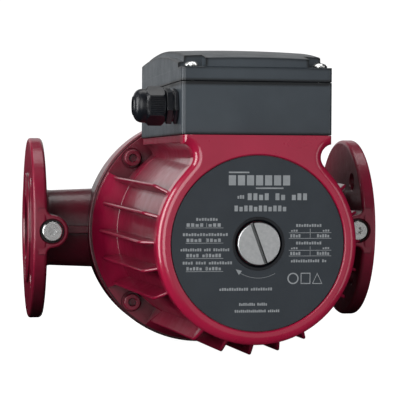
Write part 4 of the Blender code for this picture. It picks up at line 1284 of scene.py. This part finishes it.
def make_box_fittings():
    floor = BOX_BOTTOM + BOX_WALL
    low = floor + GAP
    fronts = [164 + 12 * i for i in range(4)]
    terminals = block("lower", (12, 158, low), (42, 206, 88), 0.6)
    join(terminals, *(block("tower", (18, f - 4, 87), (36, f + 4, 97), 0.5) for f in fronts))
    cutters = []
    for i, front in enumerate(fronts):
        cutters.append(rod(f"clamp_{i}", 2.3, 91, 99, at=(27, -front, 0), steps=28))
        for side, turn in ((-1, INLET), (1, OUTLET)):
            at = (27, -front, 91)
            cutters.append(rod(f"wire_{i}_{side}", 1.7, 5, 12, turn, at, steps=20))
    cut(terminals, *cutters)
    piece(terminals, "pump", "white_plastic", CREAM, "terminal_block", crease=30)
    for i, front in enumerate(fronts):
        profile = [(0, 94.2), (1.7, 94.2), (2.0, 93.9), (2.0, 91.3), (0, 91.3)]
        screw = turned(f"clamp_screw_{i}", profile, at=(27, -front, 0), steps=28)
        cut(screw, block("slot", (24, front - 0.3, 93.5), (30, front + 0.3, 96)))
        piece(screw, "pump", "zinc_steel", ZINC)

    centre = (-22.0, 0, 92.2)
    can = [(0, 174.6), (9.6, 174.6), (10.4, 175.8), (11, 176), *arc((11, 173.5), 2.5, 90, 0, 6)[1:]]
    can += [(13.5, 91), (12.5, 90.4), (12.5, 89), (0, 89)]
    capacitor = turned("capacitor_can", can, FRONT, centre, 72)
    piece(capacitor, "pump", "white_plastic", CREAM, "capacitor")

    names = ("box_screw_1", "box_screw_2", "earth_screw")
    for name, (x, front) in zip(names, BOX_SCREWS):
        head = floor + GAP
        profile = [(0, head + 2.6), *arc((0, head + 2.6 - 8), 8, 88, 64, 5), (4.2, head + 0.6)]
        profile += [(4.2, head), (2.4, head), (2.4, 65.5), (0, 65.5)]
        screw = turned(f"{name}_turned", profile, at=(x, -front, 0), steps=36)
        cut(screw, *cross_recess(x, front, 2.2, 0.45, head + 1.2, head + 5))
        piece(screw, "pump", "zinc_steel", ZINC, name)


def make_leads():
    """Three sleeved wires from the winding, up through the neck to the terminal block."""
    colours = (
        ("brown", (0.10, 0.035, 0.015), (0.14, 0.05, 0.02)),
        ("blue", (0.01, 0.05, 0.22), (0.015, 0.07, 0.30)),
        ("black", (0.008, 0.008, 0.009), (0.014, 0.014, 0.015)),
    )
    rise = arc((9, 84), 9, 180, 90, 10)
    for index, (word, dark, light) in enumerate(colours):
        angle = math.radians(90 + 120 * index)
        dx, df = 1.25 * math.cos(angle), 1.25 * math.sin(angle)
        end = LEAD_FRONT - 2.5
        route = [(dx, LEAD_FRONT + df, 51), (dx, LEAD_FRONT + df, 62), (dx, LEAD_FRONT + df, 74)]
        route += [(x + dx, LEAD_FRONT - 0.25 * (z - 84) + df, z) for x, z in rise]
        route += [(20, end + df, 93 + dx), (27 + dx, end + df, 91), (30 + dx, end + df, 84)]
        lead = tube(f"lead_{word}", route, 1.2, 16)
        skin = surface(f"lead_{word}", dark, light, 10, (0.35, 0.5), 0.6, 0.01)
        piece(lead, "pump", "black_plastic", skin, "motor_leads")


# ---------------- cable gland


def gland_nut_radius(height, angle):
    """The nut's outer radius: six chamfered flats, every second one ribbed, then a round nose."""
    half_across, rib_pitch, groove = 11.7, 1.25, 0.4
    degrees = math.degrees(angle)
    off_middle = math.radians(degrees % 60 - 30)
    flat = half_across / math.cos(off_middle)
    across = half_across * math.tan(off_middle)
    if degrees % 120 < 60 and 61.6 < height < 71.4 and abs(across) < 6.2:
        flat -= groove * max(0.0, math.sin(2 * math.pi * across / rib_pitch)) ** 0.5
    grip = min(flat, 11.0 + 1.15 * (height - 60.4), 13.7 - 0.95 * (height - 71.3))
    nose = 5.9 + math.sqrt(max(0.0, 5.6**2 - max(0.0, height - 76) ** 2))
    return max(grip, nose) if height > 70 else grip


def gland_nut_mesh():
    work = bmesh.new()
    steps = 432
    heights = [60.4, 60.8, 61.3, 61.6, 61.8, 62.8, 64, 66, 68, 70, 71, 71.3, 71.5, 72, 72.6]
    heights += [73.2, 73.7, 74.6, 76.0]
    heights += [76 + 5.6 * math.sin(math.radians(10 * i)) for i in range(1, 9)]
    tail = [(6.5, 82.0), (6.0, 82.3), (5.6, 82.2), (5.6, 76.8), (8.9, 76.8), (8.9, 71.3)]
    columns = []
    for i in range(steps):
        angle = 2 * math.pi * i / steps
        section = [(9.6, 71.3), (9.6, 60.4)]
        section += [(gland_nut_radius(height, angle), height) for height in heights] + tail
        columns.append([
            work.verts.new((r * MM * math.cos(angle), r * MM * math.sin(angle), z * MM))
            for r, z in section
        ])
    size = len(columns[0])
    for i in range(steps):
        left, right = columns[i], columns[(i + 1) % steps]
        for k in range(size):
            j = (k + 1) % size
            work.faces.new((left[k], right[k], right[j], left[j]))
    bmesh.ops.recalc_face_normals(work, faces=work.faces)
    return finished(work, "gland_cap")


def make_gland():
    """The gland's lengths run outwards from the middle of the box, along -X."""
    place = (0, -GLAND_FRONT, GLAND_HEIGHT)
    wall = BOX_HALF_WIDTH
    thread = THREAD_RADIUS
    threads = []
    for i in range(6):
        height = 70.2 - 1.5 * i
        threads += [(thread, height), (thread - 0.6, height - 0.6), (thread - 0.6, height - 0.8)]
        threads.append((thread, height - 1.4))
    profile = [(6.8, 71.0), (thread - 0.4, 71.0), *threads, (thread, 43.5), (6.8, 43.5)]
    body = turned("gland_collar", profile, INLET, place, 72)
    hexagons = [
        prism(
            f"hexagon_{low}", hexagon(22.0, GLAND_HEX_TURN), low, high, INLET, place,
            round_top=0.5, round_bottom=0.4, segments=3,
        )
        for low, high in ((wall + GAP, 54.7), (55.9, 60.1))
    ]
    neck = rod("hexagon_neck", 10.6, 53, 57, INLET, place, 64)
    for part in (*hexagons, neck):
        cut(part, rod("hexagon_hole", 8.0, 45, 65, INLET, place, 48))
    join(body, *hexagons, neck)
    piece(body, "pump", "black_plastic", BLACK, "gland_body")
    locknut = prism(
        "gland_ring_nut", hexagon(22.0), 43.9, 48.6, INLET, place,
        round_top=0.4, round_bottom=0.4, segments=2,
    )
    cut(locknut, rod("locknut_hole", thread + GAP, 40, 52, INLET, place, 48))
    piece(locknut, "pump", "black_plastic", BLACK, "gland_locknut")
    nut = add("gland_cap", gland_nut_mesh(), INLET, place)
    piece(nut, "cable_nut", "black_plastic", BLACK, "gland_nut", crease=28)
    bore = GLAND_HOLE_RADIUS
    ends = rounded([(bore + 0.1, 76.5), (8.6, 76.5), (8.6, 71.3), (bore + 0.1, 71.3)], 0.5, 3)
    seal = turned("gland_bush", [(bore, 76.3), *ends, (bore, 71.5)], INLET, place, 56)
    piece(seal, "cable_seal", "rubber", RUBBER, "gland_seal")


# ---------------- carried-over nodes


def dress_cad_nodes():
    """The inner pieces keep their CAD shape and get a finish by their material slot."""
    slots = {row["node"]: row["material_slot"] for row in frame["record"]["subparts"]}
    for name, obj in frame["nodes"].items():
        dress(obj, SLOT_MATERIALS[slots[name]], 35, 50)


make_camera()
make_studio()
make_floor()
dress_cad_nodes()
make_pump_casting()
make_gauge_plugs()
make_motor_casting()
make_front_rim()
make_motor_bolts()
make_nameplate()
make_print()
make_vent()
make_box_lower()
make_box_lid()
make_lid_screws()
make_box_fittings()
make_leads()
make_gland()
